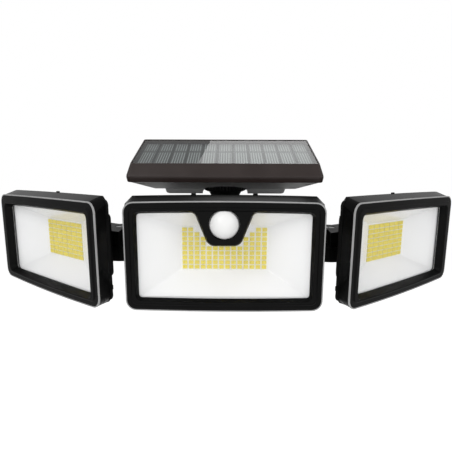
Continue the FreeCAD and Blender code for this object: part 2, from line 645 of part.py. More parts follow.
def rear_body():
    """Box behind the middle head with a fork for it, a lug for each arm and a seat for the neck."""
    half = BODY_W / 2
    box = block(-half, half, BODY_FRONT, BODY_BACK, BODY_FOOT, BODY_TOP)
    box = rounded(box, BODY_R, along("y"))
    t = BODY_WALL
    hollow = block(-half + t, half - t, BODY_FRONT + t, BODY_BACK + 1, BODY_FOOT + t, BODY_TOP - t)
    pivot = tilt_pivot()
    near = CENTRE_TONGUE + LUG_GAP
    forks = []
    for x0 in (near, -near - LUG_T):
        cheek = lug(x0, x0 + LUG_T, 0.0, 10.0, 0.0, -11.0, 11.0)
        cheek = cheek.mirror(V(0, 0, 0), V(0, 1, 0))
        cheek.translate(V(0, pivot.y + 10.0, pivot.z))
        root = block(x0, x0 + LUG_T, pivot.y + 9.5, BODY_FRONT + 1, pivot.z - 11, pivot.z + 11)
        forks.append(join(cheek, root))
    lugs = []
    for side in (-1, 1):
        p = swing_point(side)
        lugs.append(Part.makeCylinder(BODY_LUG_R, ARM_SPLIT - 0.3 - ARM_FOOT, V(p.x, p.y, ARM_FOOT)))
        x0, x1 = sorted((side * (half - 1), p.x))
        lugs.append(block(x0, x1, p.y - 11.0, p.y + 13.0, ARM_FOOT, ARM_SPLIT - 0.3))
        root, top = side * (half - 1), ARM_FOOT + 1
        wedge = Part.makePolygon([V(root, p.y - 9.0, top), V(side * (half + 14), p.y - 9.0, top),
                                  V(root, p.y - 9.0, BODY_FOOT + 3), V(root, p.y - 9.0, top)])
        lugs.append(Part.Face(wedge).extrude(V(0, 22, 0)))
    shelf = Part.makeCylinder(NECK_FLANGE_R, BODY_TOP - SHELF_Z, V(0, NECK_Y, SHELF_Z))
    body = join(box, shelf, *lugs).cut(hollow)
    body = join(body, *forks)
    body = body.cut(rod(TILT_BOLT_R, (-30, pivot.y, pivot.z), (30, pivot.y, pivot.z)))
    for side in (-1, 1):
        p = swing_point(side)
        body = body.cut([Part.makeCylinder(SWING_BOLT_R, 40, V(p.x, p.y, -30)),
                         Part.makeCylinder(5.0, 3.2, V(p.x, p.y, ARM_FOOT))])
    cradles = []
    for x in (-CRADLE_X, CRADLE_X):
        saddle = block(x - 2, x + 2, BODY_FRONT + 1, BODY_BACK - 4, BODY_FOOT + 1, 0)
        cradles.append(saddle.cut([rod(CELL_R, (x - 5, y, 0), (x + 5, y, 0)) for y in CELLS_Y]))
    pillars = [rod(3.6, (x, BODY_FRONT + 1, z), (x, BODY_BACK, z)) for x, z in lid_points()]
    body = join(body, *(cradles + pillars))
    body = body.cut([rod(SCREW_R, (x, BODY_BACK - 10, z), (x, BODY_BACK, z)) for x, z in lid_points()])
    body = body.cut([rod(SCREW_R, (x, y, BODY_TOP - 5), (x, y, BODY_TOP + 1)) for x, y in NECK_SCREWS])
    guide = rod(BUTTON_FLANGE_R + 1.6, (0, BUTTON_Y, BODY_FOOT + 1), (0, BUTTON_Y, BODY_FOOT + 5.6))
    body = join(body, guide)
    return body.cut([rod(BUTTON_R + FIT, (0, BUTTON_Y, BODY_FOOT - 1), (0, BUTTON_Y, BODY_FOOT + 9)),
                     rod(BUTTON_FLANGE_R + FIT, (0, BUTTON_Y, BODY_FOOT + t), (0, BUTTON_Y, BODY_FOOT + 9)),
                     rod(3.4, (0, NECK_Y, SHELF_Z + 1.2), (0, NECK_Y, BODY_TOP + 4)),
                     rod(2.2, (0, NECK_Y, SHELF_Z + 3.4), (0, BODY_FRONT + 6, SHELF_Z + 3.4))])


def rear_lid():
    """Closes the rear body towards the wall; it is screwed to the wall plate's boss from inside."""
    half = BODY_W / 2
    lid = rounded(block(-half, half, BODY_BACK, BODY_BACK + LID_T, BODY_FOOT, BODY_TOP), BODY_R, along("y"))
    inside = BODY_TOP - BODY_WALL - GAP
    lip = block(-half + 10, half - 10, BODY_BACK - 3, BODY_BACK, -inside, inside)
    lip = lip.cut(block(-half + 12, half - 12, BODY_BACK - 4, BODY_BACK, BODY_FOOT + 5, BODY_TOP - 5))
    lid = join(lid, lip)
    for x, z in lid_points():
        lid = lid.cut([rod(SCREW_R + 0.2, (x, BODY_BACK - 1, z), (x, 0, z)),
                       rod(SCREW_HEAD_R + 0.3, (x, BODY_BACK + LID_T - 1.8, z), (x, 0, z))])
    return lid.cut([rod(PLATE_SCREW_R + 0.2, (x, BODY_BACK - 1, 0), (x, 0, 0))
                    for x in (-PLATE_SCREW_X, PLATE_SCREW_X)])


def screw(radius, head_r, head_at, tip, head_t=SCREW_HEAD_T):
    """Screw whose head rests at head_at and whose shank ends at tip."""
    a, b = V(*head_at), V(*tip)
    outward = (a - b).normalize() * head_t
    return join(rod(radius, head_at, tip), rod(head_r, head_at, tuple(a + outward)))


def lid_screws():
    seat = BODY_BACK + LID_T - 1.8
    return Part.makeCompound([screw(SCREW_R, SCREW_HEAD_R, (x, seat, z), (x, BODY_BACK - 9, z))
                              for x, z in lid_points()])


def plate_screws():
    """Screws from inside the lid into the wall plate's boss."""
    return Part.makeCompound([screw(PLATE_SCREW_R, PLATE_HEAD_R, (x, BODY_BACK, 0), (x, -6.5, 0))
                              for x in (-PLATE_SCREW_X, PLATE_SCREW_X)])


def neck_screws():
    """Screws from inside the rear body up into the neck's flange."""
    seat = BODY_TOP - BODY_WALL
    return Part.makeCompound([screw(SCREW_R, SCREW_HEAD_R, (x, y, seat), (x, y, BODY_TOP + 2))
                              for x, y in NECK_SCREWS])


def battery_cells():
    """Two round cells that lie side by side across the rear body."""
    cells = []
    for y in CELLS_Y:
        can = rod(CELL_R - GAP, (-CELL_L / 2, y, 0), (CELL_L / 2 - 1.5, y, 0))
        cells.append(join(can, rod(3.0, (CELL_L / 2 - 1.5, y, 0), (CELL_L / 2, y, 0))))
    return Part.makeCompound(cells)


def wall_plate():
    """Flanged plate with a hollow boss that carries the rear body's lid."""
    half_w, half_h = PLATE_W / 2, PLATE_H / 2
    plate = rounded(block(-half_w, half_w, -PLATE_T, 0, -half_h, half_h), PLATE_R, along("y"))
    bw, bh = PLATE_BOSS
    front = BODY_BACK + LID_T
    boss = rounded(block(-bw / 2, bw / 2, front, -PLATE_T + 1, -bh / 2, bh / 2), 4.0, along("y"))
    rib_x = bw / 2 + 4.5
    ribs = [block(x - 5.5, x + 5.5, front + 3, -1, -1.5, 1.5) for x in (-rib_x, rib_x)]
    plate = join(plate, boss, *ribs)
    plate = plate.cut([block(x0, x0 + bw / 2 - 4.5, front + 3, 1, -bh / 2 + 3, bh / 2 - 3)
                       for x0 in (1.5, -bw / 2 + 3)])
    screw_x = (-PLATE_SCREW_X, PLATE_SCREW_X)
    plate = join(plate, *[rod(3.6, (x, front + 2, 0), (x, -5.0, 0)) for x in screw_x])
    plate = plate.cut([rod(PLATE_SCREW_R, (x, front - 1, 0), (x, -6.0, 0)) for x in screw_x])
    return plate.cut([rod(WALL_HOLE_R, (x, -9, z), (x, 1, z))
                      for x in (-WALL_X / 2, WALL_X / 2) for z in (-WALL_Z / 2, WALL_Z / 2)])


def mode_button():
    """Rubber button under the rear body, held by its flange."""
    cap = rod(BUTTON_R, (0, BUTTON_Y, BODY_FOOT - BUTTON_PROUD), (0, BUTTON_Y, BODY_FOOT + BODY_WALL + 0.1))
    cap = rounded(cap, 1.2, lambda e: isinstance(e.Curve, Part.Circle) and e.CenterOfMass.z < BODY_FOOT - 1)
    foot = BODY_FOOT + BODY_WALL + 0.1
    flange = rod(BUTTON_FLANGE_R, (0, BUTTON_Y, foot), (0, BUTTON_Y, foot + BUTTON_FLANGE_T))
    return join(cap, flange)


def neck():
    """Post on the rear body that widens into the socket of the ball joint."""
    inner = BALL_R + CUP_T + FIT
    socket = SOCKET_R - 0.2
    post = turned_round([(0, BODY_TOP), (NECK_FLANGE_R, BODY_TOP), (NECK_FLANGE_R, BODY_TOP + 2.4),
                         (NECK_R + 1.0, BODY_TOP + 3.4), (NECK_R, BODY_TOP + 8), (NECK_R, RING_FOOT - 5.4),
                         (socket, RING_FOOT - 0.3), (socket, NECK_TOP), (0, NECK_TOP)], (0, NECK_Y))
    cavity = Part.makeSphere(inner, V(0, NECK_Y, BALL_Z))
    throat = Part.makeCylinder(inner, 20, V(0, NECK_Y, BALL_Z))
    post = post.cut([cavity, throat, Part.makeCylinder(3.4, BALL_Z - BODY_TOP, V(0, NECK_Y, BODY_TOP - 1))])
    return post.cut([rod(SCREW_R, (x, y, BODY_TOP - 1), (x, y, BODY_TOP + 2.2)) for x, y in NECK_SCREWS])


def lock_ring():
    """Nut that clamps the ball joint: knurled rim, cone above, lip over the cup's flange."""
    shell = turned_round([(0, RING_FOOT), (RING_FOOT_R, RING_FOOT), (RING_R, RING_FOOT + 1.2),
                          (RING_R, RING_FOOT + 4.0), (RING_TOP_R, RING_TOP), (0, RING_TOP)], (0, NECK_Y))
    bore = turned_round([
        (0, RING_FOOT - 1), (SOCKET_R, RING_FOOT - 1), (SOCKET_R, RING_LIP),
        (RING_OPEN_R, RING_LIP), (RING_OPEN_R, RING_TOP + 1), (0, RING_TOP + 1)], (0, NECK_Y))
    ring = shell.cut(bore)
    grooves = []
    for k in range(RING_RIDGES):
        a = 2 * math.pi * k / RING_RIDGES
        x, y = (RING_R + 0.2) * math.cos(a), NECK_Y + (RING_R + 0.2) * math.sin(a)
        grooves.append(Part.makeCylinder(0.55, 6, V(x, y, RING_FOOT - 1)))
    return ring.cut(grooves)


def swivel_cup():
    """Plastic cup round the ball; its slot lets the stem tilt and its flange lies under the ring's lip."""
    r = BALL_R + CUP_T
    foot, top = CUP_FLANGE
    low = Part.makeSphere(r, V(0, NECK_Y, BALL_Z)).common(
        block(-20, 20, NECK_Y - 20, NECK_Y + 20, BALL_Z - 20, BALL_Z))
    wall = Part.makeCylinder(r, top - BALL_Z, V(0, NECK_Y, BALL_Z))
    flange = Part.makeCylinder(CUP_FLANGE_R, top - foot, V(0, NECK_Y, foot))
    cup = join(low, wall, flange)
    return cup.cut([Part.makeSphere(BALL_R + FIT, V(0, NECK_Y, BALL_Z)),
                    block(-CUP_SLOT, CUP_SLOT, NECK_Y - 20, NECK_Y + 20, BALL_Z, top + 1),
                    Part.makeCylinder(3.4, 20, V(0, NECK_Y, BALL_Z - 20))])


def panel_point():
    """The ball's centre in the panel's frame."""
    panel = FreeCAD.Placement(V(*PANEL_AT), FreeCAD.Rotation(V(1, 0, 0), PANEL_TILT))
    return panel.inverse().multVec(V(0, NECK_Y, BALL_Z))


def flat_ring(w, y0, y1, z, corner):
    """Rounded rectangle in the panel's plane."""
    hw = w / 2
    k = corner * (1 - math.sqrt(0.5))
    pts = []
    for sx, y, sy in ((1, y1, 1), (-1, y1, 1), (-1, y0, -1), (1, y0, -1)):
        side = V(sx * hw, y - sy * corner, z)
        end = V(sx * (hw - corner), y, z)
        middle = V(sx * (hw - k), y - sy * k, z)
        pts.append((side, middle, end) if sx * sy > 0 else (end, middle, side))
    pieces = []
    for i in range(4):
        pieces.append(("arc", pts[i][0], pts[i][1], pts[i][2]))
        pieces.append(("line", pts[i][2], None, pts[(i + 1) % 4][0]))
    return Part.Wire(edges_of(pieces))


def panel_frame():
    """Black frame: thin rim round the glass, long bevel, upright lip that draws in to its foot."""
    top = flat_ring(GLASS_W + 2 * RIM, -RIM, GLASS_L + RIM, RIM_PROUD, 1.6)
    low = flat_ring(FRAME_W, FRAME_FRONT, FRAME_REAR, -BEVEL, 3.0)
    mid = flat_ring(FRAME_W, FRAME_FRONT, FRAME_REAR, -LIP_MID, 3.0)
    foot = flat_ring(FRAME_W - 2 * LIP_IN, FRAME_FRONT + LIP_IN, FRAME_REAR - LIP_IN, -LIP_FOOT, 2.6)
    frame = join(loft(low, top), loft(mid, low), loft(foot, mid))
    bed = flat_ring(GLASS_W + 0.2, -0.1, GLASS_L + 0.1, -GLASS_T - CELL_T - CELL_BOARD_T, 0.8)
    seat = Part.Face(bed).extrude(V(0, 0, 9))
    ow, ol = FRAME_OPEN
    half = GLASS_L / 2
    opening = Part.Face(flat_ring(ow, half - ol / 2, half + ol / 2, -20, 2.0)).extrude(V(0, 0, 30))
    frame = frame.cut([seat, opening])
    return frame.cut([rod(SCREW_R, (x, y, -LIP_FOOT - 1), (x, y, -LIP_FOOT + 4.0))
                      for x, y in panel_screw_points()])


def solar_glass():
    return Part.Face(flat_ring(GLASS_W, 0.0, GLASS_L, -GLASS_T, 0.7)).extrude(V(0, 0, GLASS_T))


def solar_cells():
    """Eleven silicon strips under the glass."""
    width = (GLASS_W - 2 * CELL_BORDER - (CELLS - 1) * CELL_GAP) / CELLS
    strips = []
    y0, y1 = CELL_BORDER, GLASS_L - CELL_BORDER
    for k in range(CELLS):
        x0 = -GLASS_W / 2 + CELL_BORDER + k * (width + CELL_GAP)
        strips.append(block(x0, x0 + width, y0, y1, -GLASS_T - CELL_T, -GLASS_T))
    return Part.makeCompound(strips)


def cell_board():
    """Dark board that the cells lie on; it shows between them."""
    low = -GLASS_T - CELL_T - CELL_BOARD_T
    return Part.Face(flat_ring(GLASS_W, 0.0, GLASS_L, low, 0.7)).extrude(V(0, 0, CELL_BOARD_T))


def hump(skin):
    """The back's outer form, or with a skin its hollow, which is open towards the frame."""
    (w0, a0, b0, d0), (w1, a1, b1, d1), (w2, a2, b2, d2) = HUMP
    rim = 0.01 - d0 if skin else -d0
    shallow = loft(flat_ring(w1 - 2 * skin, a1 + skin, b1 - skin, skin - d1, 3.0),
                   flat_ring(w0 - 2 * skin, a0 + skin, b0 - skin, rim, 3.0))
    deep = loft(flat_ring(w2 - 2 * skin, a2 + skin, b2 - skin, skin - d2, 4.0),
                flat_ring(w2 - 2 * skin + 2.0, a2 + skin - 1.0, b2 - skin + 1.0, skin - d1 + 0.01, 4.0))
    return join(shallow, deep)


def panel_screw_points():
    return [(side * x, y) for x, y in PANEL_SCREWS for side in (-1, 1)]


def panel_back():
    """Hollow back with a raised box and a round pocket in which the ball joint stands."""
    ball = panel_point()
    outer = hump(0.0)
    skin = Part.makeSphere(POCKET_R + HUMP_SKIN, ball).common(outer)
    columns = [rod(3.8, (x, y, -HUMP[1][3]), (x, y, -LIP_FOOT)).common(outer) for x, y in panel_screw_points()]
    back = join(outer.cut(hump(HUMP_SKIN)), skin, *columns)
    back = back.cut(Part.makeSphere(POCKET_R, ball))
    low = -HUMP[1][3] - 1
    for x, y in panel_screw_points():
        back = back.cut([rod(SCREW_R + 0.2, (x, y, low), (x, y, -LIP_FOOT + 1)),
                         rod(SCREW_HEAD_R + 0.3, (x, y, low), (x, y, -PANEL_SCREW_SEAT))])
    return back.cut(rod(STEM_R + FIT, (ball.x, ball.y, ball.z), (ball.x, ball.y, ball.z + 30)))


def panel_screws():
    seat = -PANEL_SCREW_SEAT
    return Part.makeCompound([screw(SCREW_R, SCREW_HEAD_R, (x, y, seat), (x, y, -LIP_FOOT + 3.6))
                              for x, y in panel_screw_points()])


def ball_stem():
    """Steel ball and stem; the stem's round plate is held inside the panel's back."""
    ball = panel_point()
    roof = ball.z + POCKET_R + HUMP_SKIN
    sphere = Part.makeSphere(BALL_R, ball)
    stem = rod(STEM_R, (ball.x, ball.y, ball.z), (ball.x, ball.y, roof))
    plate = rod(STEM_FLANGE_R, (ball.x, ball.y, roof), (ball.x, ball.y, roof + STEM_FLANGE_T))
    return join(sphere, stem, plate)


def centre_pieces():
    """The middle head's pieces, in its own frame."""
    return {
        "centre_bezel": centre_bezel(), "centre_lens": centre_lens(),
        "centre_seal": seal(CENTRE).cut(tube_room()),
        "centre_housing": housing(CENTRE).cut(tube_room()),
        "centre_reflector": centre_reflector(), "centre_led_board": led_board(CENTRE, 0.0),
        "centre_leds": leds(CENTRE, 0.0), "centre_rear_cover": centre_cover(),
        "centre_cover_screws": cover_screws(CENTRE), "pir_dome": pir_dome(), "sensor_tube": sensor_tube(),
        "pir_sensor": pir_sensor(), "control_board": control_board(),
        "centre_tilt_bolt": bolt_along_x(TILT_BOLT_R, CENTRE_TONGUE + LUG_GAP + LUG_T, CENTRE_TILT_Y, 0.0)}


def side_pieces(side):
    """A side head's pieces, in its own frame; its LEDs stand a little towards the light's middle."""
    led_x = -side * SIDE.led_x
    half = ARM_TONGUE + LUG_GAP + LUG_T
    return {
        "bezel": bezel(SIDE), "lens": lens(SIDE), "seal": seal(SIDE), "housing": housing(SIDE),
        "reflector": reflector(SIDE, led_x), "led_board": led_board(SIDE, led_x),
        "leds": leds(SIDE, led_x), "rear_cover": side_cover(led_x), "cover_screws": cover_screws(SIDE),
        "tilt_bolt": bolt_along_x(TILT_BOLT_R, half, SIDE_TILT_Y, SIDE_TILT_Z)}


def build():
    os.makedirs("parts", exist_ok=True)
    for name, shape in centre_pieces().items():
        save(name, place_head(shape, 0))
    for side, word in ((-1, "left"), (1, "right")):
        for name, shape in side_pieces(side).items():
            save(word + "_" + name, place_head(shape, side))
        save(word + "_arm", arm(side))
        save(word + "_swing_bolt", swing_bolt(side))
    rear = {
        "rear_body": rear_body(), "rear_lid": rear_lid(), "lid_screws": lid_screws(),
        "plate_screws": plate_screws(), "neck_screws": neck_screws(), "battery_cells": battery_cells(),
        "wall_plate": wall_plate(), "mode_button": mode_button(), "neck": neck(),
        "lock_ring": lock_ring(), "swivel_cup": swivel_cup()}
    for name, shape in rear.items():
        save(name, shape)
    panel = {
        "panel_frame": panel_frame(), "solar_glass": solar_glass(), "solar_cells": solar_cells(),
        "cell_board": cell_board(), "panel_back": panel_back(), "panel_screws": panel_screws(),
        "ball_stem": ball_stem()}
    for name, shape in panel.items():
        save(name, place_panel(shape))
    print("middle tilt axis", tilt_pivot())
    for side in (-1, 1):
        print("side", side, "tilt axis", arm_frame(side).Base, "swing axis", swing_point(side))
    print("ball in panel frame", panel_point())


build()
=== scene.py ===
"""Looks of the solar security light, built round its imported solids.

Pieces are modelled in millimetres in the frame of the head or panel they belong to: X across, Y backwards
from the front, Z up. settle() then puts them in the light, in metres.
"""
import bmesh
import bpy
import json
import math
from types import SimpleNamespace
from mathutils import Matrix, Vector


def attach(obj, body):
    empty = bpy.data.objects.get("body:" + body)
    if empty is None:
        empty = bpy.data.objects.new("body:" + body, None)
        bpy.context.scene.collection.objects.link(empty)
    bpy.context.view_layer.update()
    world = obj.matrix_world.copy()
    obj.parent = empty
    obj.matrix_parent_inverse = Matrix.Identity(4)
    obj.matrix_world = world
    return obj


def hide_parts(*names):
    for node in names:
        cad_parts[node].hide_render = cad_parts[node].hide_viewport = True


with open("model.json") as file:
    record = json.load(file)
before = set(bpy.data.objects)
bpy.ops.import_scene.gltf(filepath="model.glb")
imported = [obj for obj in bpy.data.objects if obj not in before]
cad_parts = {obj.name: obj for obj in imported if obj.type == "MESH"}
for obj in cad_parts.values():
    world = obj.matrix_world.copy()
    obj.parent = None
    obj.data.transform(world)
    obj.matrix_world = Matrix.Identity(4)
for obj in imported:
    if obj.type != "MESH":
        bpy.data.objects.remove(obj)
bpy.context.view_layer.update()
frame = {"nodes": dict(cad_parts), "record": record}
NODES = frame["nodes"]

MM = 0.001
CORNER_CUTS = 6           # pieces in each round corner
EDGE_CUTS = 9             # cuts along the bowed long edges
PULL = 300.0              # how far apart outlines are held while they are bridged
ROUND_PROFILE = 0.5       # bevel profile of a round corner
FLAT_PROFILE = 0.25       # bevel profile of a corner that is cut flat
HAIR = 0.02               # space between pieces that touch

# Lamp heads. front_t is how deep the front frame is, funnel how far its window's edge slopes outward,
# rear_x and rear_top how far the rear edge reaches past the front, board_y where the LED board starts,
# back_y where the rear box ends, led the LED package across and up.
CENTRE = SimpleNamespace(
    name="centre", w=136.0, h=75.0, bow=(0.8, 0.8), win_w=119.8, win_h=59.6, win_z=0.3,
    front_t=3.0, funnel=1.9, rear_x=1.5, rear_top=3.9, board_y=20.3, back_y=40.0, box=(112.0, 62.0),
    box_in=4.0, cols=14, rows=9, pitch_x=4.494, pitch_z=3.519, led=(3.5, 2.8), led_x=0.0, led_z=2.0,
    clips_x=(-21.5, 21.5), clips_z=(-18.0, 18.0), lugs=((-7.0, 7.0),), tilt_y=50.0, tilt_z=0.0, lug_half=13.0)
SIDE = SimpleNamespace(
    name="side", w=140.4, h=70.3, bow=(0.3, 1.2), win_w=121.8, win_h=54.7, win_z=-0.95,
    front_t=5.0, funnel=2.2, rear_x=-0.5, rear_top=3.9, board_y=17.4, back_y=30.0, box=(100.0, 56.0),
    box_in=4.0, cols=7, rows=8, pitch_x=7.24, pitch_z=3.57, led=(6.2, 3.0), led_x=1.6, led_z=2.0,
    clips_x=(6.0,), clips_z=(-23.4, -13.0, 25.0), lugs=((-11.4, -6.4), (6.4, 11.4)), tilt_y=40.0, tilt_z=-2.0,
    lug_half=11.0)
NO_LED_FROM = (2, 3, 4, 4)    # LEDs at each end of the middle head's top rows, beside the tongue
RING_PROUD = 0.8          # the raised ring stands this far in front of the outer band
FLANGE_T = 0.9            # thin edge of the front frame; the rest of it stands in by EDGE_IN
EDGE_IN = 0.8
STEP_IN = 3.3             # width of the outer band
STEP_SLOPE = 0.6
STEP_R = 4.2              # round corner at the ring's foot
RING_CORNER_R = 3.6
CORNER_R = 6.5
WINDOW_R = 2.2
LENS_LAP = 2.0            # how far the window's edge goes out behind the front frame
LENS_T = 2.0
LENS_R = 5.0
LENS_ROOM = 0.3           # room round the window
SEAL_T = 1.4
SEAL_FRONT = 0.2          # the seal's collar starts this far behind the outer band
SEAL_BACK = 1.3           # and ends here
SEAL_LIP = 0.9            # it stands this far out of the front frame's edge
SEAL_IN = 0.2             # the rest of the seal stands in by this much
HOUSING_LIP = 0.7
TRAY = 10.4               # rear edge of the housing
CORNER_CUT = 5.3
COVER_T = 2.0
COVER_SKIN = 2.5
COVER_RELIEF = 2.2        # the cover is cut away this far outside the reflector's white faces
EAR_R = 4.3
EAR_IN = 4.4
CLIP = (3.4, 1.0, 1.4)    # along the edge, past it, and in depth
TILT_R = 7.5
BOLT_R = 2.6
BOARD_MARGIN = 1.0
BOARD_LAP = 3.0
BOARD_T = 1.6
TROUGH_R = 1.4            # inner corners of the reflector
TROUGH_OUTER_R = 2.0
FLANGE_R = 4.8            # corners of the reflector's flange
PIR_Z = 23.0              # middle of the sensor dome
PIR_R = 10.2
PIR_HEIGHT = 6.2
PIR_SINK = 1.2            # the dome's curve starts this far behind the outer band
PIR_ROOM = 0.45           # room between the dome and the tongue
TUBE_R = 12.2
TUBE_END = 10.6
TONGUE_BACK = 3.0
TONGUE_SLOPE = 1.4
TONGUE_TOP = 20.5         # half width at the window's top edge
TONGUE_FOOT = 11.0        # half width at the foot
TONGUE_FOOT_Z = 7.6
TONGUE_BAR = 4.5          # the bar above reaches this far past the tongue on each side
TONGUE_FOOT_R = 4.2
TONGUE_ROOT_R = 2.6
REFLECTOR_T = 1.0
LED_T = 0.7
LED_EDGE = 0.1
LED_SINK = 0.06           # the phosphor lies this deep in its case
COVER_SCREW = (1.2, 2.4, 10.0)    # radius of the shank and the head, and the length

# Solar panel
GLASS_W = 137.0
GLASS_L = 54.0
GLASS_T = 2.6
GLASS_IOR = 1.52
FRAME_W = 143.6
FRAME_H = 70.1
FRAME_MID = 24.95         # middle of the frame, up its slope from the glass's lower edge
RIM_PROUD = 0.4           # the thin rim stands this far above the glass
BED = 3.5                 # depth of the seat under the glass
FRAME_BACK = 10.8
# The frame's steps from front to back: how much smaller than the frame, depth and corner
RIM_STEPS = ((0.6, 5.8, 3.0), (0.1, 6.9, 3.0), (0.1, 8.1, 3.0), (0.8, FRAME_BACK, 2.6))
OPENING = (128.0, 46.0)   # of the frame behind the seat
# The back's slope and its raised box: width, height, depth, corner and middle
BACK_STEPS = ((117.2, 36.0, 28.1, 3.0, 35.0), (99.0, 34.3, 28.1, 4.0, 34.8), (97.2, 32.5, 33.0, 4.0, 34.75))
CELLS = 11
CELL_GAP = 2.4
CELL_BORDER = 2.6
CELL_T = 0.3
FINGER_SCALE = 160.0      # of the wave texture: a printed finger every 2 mm
BAR_Z = 71.6              # height of the cells' plain bar
BAR_HALF = 0.8
PANEL_SCREWS = ((63.0, -2.0), (63.0, 54.4))
PANEL_SCREW_SEAT = 12.2
RECESS_R = 2.7
POCKET_R = 18.4           # pocket for the ball joint in the panel's back

# Arms, rear body, neck and ball joint
SWING_X = 23.0            # the swing bolt from the head's tilt axis, across
SWING_Y = 16.0            # and behind it
SWING_R = 15.0
SWING_FLAT = 11.5         # the barrel's front is cut flat this far from its axis
SWING_HOLE_R = 3.05
SWING_HEAD_R = 5.6
SWING_HEAD_DEPTH = 3.7
BAR_Y = (-6.5, 7.0)       # front and back of the arm's bar, from the swing axis
ARM_LOW = -4.4
ARM_TOP = 10.5
ARM_TONGUE = 6.0          # half width of the tongue between the head's lugs
LUG_ROOM = 9.2
BRACE = ((17.0, -5.5), (48.0, -5.5), (37.1, 10.9), (23.0, 16.0))
LUG_LOW = -16.5
LUG_HIGH = -4.7
LUG_R = 13.8
LUG_BRIDGE = (-11.0, 13.0)    # front and back of the bridge to the body, from the swing axis
NUT_R = 5.0
NUT_DEPTH = 3.2
BODY_X = 52.0
BODY_Z = 20.0
BODY_Y = (-66.0, -18.0)
BODY_WALL = 2.5
BODY_R = 5.0
SHELF_LOW = 13.5          # underside of the thick place under the neck
CHEEKS = (7.4, 12.4)      # inner and outer side of the fork's cheeks
CHEEK_LOW = -7.4
CHEEK_TOP = 10.9
BUTTON_AT = (0.0, -55.0)
BUTTON_HOLE_R = 4.65
LID_T = 3.96
LID_SCREWS = (46.0, 14.0)
LID_SEAT = 2.2
PIVOT = (-75.05, -0.73)   # the middle head's tilt axis
PLATE = (50.0, 31.0)      # half width and half height of the wall plate
PLATE_T = 3.0
PLATE_R = 8.0
BOSS = (33.0, 17.0)
BOSS_END = -13.96
RIB_X = 37.5
RIB = (5.5, 11.0, 1.5)    # half length, reach from the wall and half thickness
WALL_HOLES = (40.0, 23.5)
WALL_HOLE_R = 2.4
NECK_Y = -65.0
NECK_R = 10.3
NECK_FLANGE_R = 15.0
NECK_TOP = 44.0
WIRE_R = 3.4              # hole for the wires
WIRE_TOP = 30.0
SOCKET_R = 13.2
THROAT_R = 10.2
THROAT_FOOT = 36.0
BALL_Z = 38.0
BALL_R = 8.5
STEM_R = 4.5
STEM_FLANGE = (11.0, 22.75, 25.6)     # radius, foot and top
RING_R = 17.0
RING_FOOT_R = 14.4
RING_FOOT = 39.9
RING_LIP = 45.6
RING_TOP = 47.2
RING_TOP_R = 12.6
RING_OPEN_R = 10.4
RING_BORE_R = 13.5
RING_RIDGES = 40
GROOVE_SHARE = 0.962      # a groove's radius as a share of the ridge's

# Where the heads and the panel stand
SIDE_YAW = 38.7           # degrees that a side head is turned outward
SIDE_NOD = 1.2            # and turned about its own width
SIDE_AT = (139.0, -93.8)
CENTRE_NOD = 2.6
CENTRE_AT = (0.0, -125.0, -3.0)
CENTRE_MATRIX = Matrix.Translation(CENTRE_AT) @ Matrix.Rotation(math.radians(CENTRE_NOD), 4, "X")


def side_matrix(side):
    """Place of a side head; side is -1 on the left."""
    yaw = Matrix.Rotation(math.radians(SIDE_YAW * side), 4, "Z")
    nod = Matrix.Rotation(math.radians(SIDE_NOD), 4, "X")
    return Matrix.Translation((SIDE_AT[0] * side, SIDE_AT[1], 0.0)) @ yaw @ nod


PANEL_LEAN = 22.6         # degrees from level
PANEL_AT = (0.0, -97.1, 61.5)
PANEL_TILT = Matrix.Rotation(math.radians(PANEL_LEAN), 4, "X")
PANEL_MATRIX = Matrix.Translation(PANEL_AT) @ PANEL_TILT @ Matrix.Rotation(math.radians(-90.0), 4, "X")
HEADS = (("centre", CENTRE, CENTRE_MATRIX, "centre_head", 0),
         ("left", SIDE, side_matrix(-1), "left_head", -1),
         ("right", SIDE, side_matrix(1), "right_head", 1))


# Materials

def linear(code):
    """sRGB hex to a linear colour."""
    parts = [int(code[i:i + 2], 16) / 255.0 for i in (1, 3, 5)]
    return tuple(p / 12.92 if p <= 0.04045 else ((p + 0.055) / 1.055) ** 2.4 for p in parts) + (1.0,)


def add_node(material, kind, inputs=None, **settings):
    """Adds a node. inputs gives a socket a value, or another node's output to link."""
    node = material.node_tree.nodes.new(kind)
    for key, value in settings.items():
        setattr(node, key, value)
    for socket, value in (inputs or {}).items():
        if isinstance(value, bpy.types.NodeSocket):
            material.node_tree.links.new(value, node.inputs[socket])
        else:
            node.inputs[socket].default_value = value
    return node


def new_material(name):
    """A material with an empty node tree."""
    material = bpy.data.materials.new(name)
    material.use_nodes = True
    material.node_tree.nodes.clear()
    return material


def finish_material(material, shader):
    """Links the shader to the material's output."""
    add_node(material, "ShaderNodeOutputMaterial", {"Surface": shader.outputs[0]})
    return material


def ramp(material, factor, stops):
    """Colour ramp through (place, linear colour) stops."""
    node = add_node(material, "ShaderNodeValToRGB", {"Fac": factor})
    elements = node.color_ramp.elements
    while len(elements) < len(stops):
        elements.new(0.5)
    for element, (place, colour) in zip(elements, stops):
        element.position = place
        element.color = colour
    return node


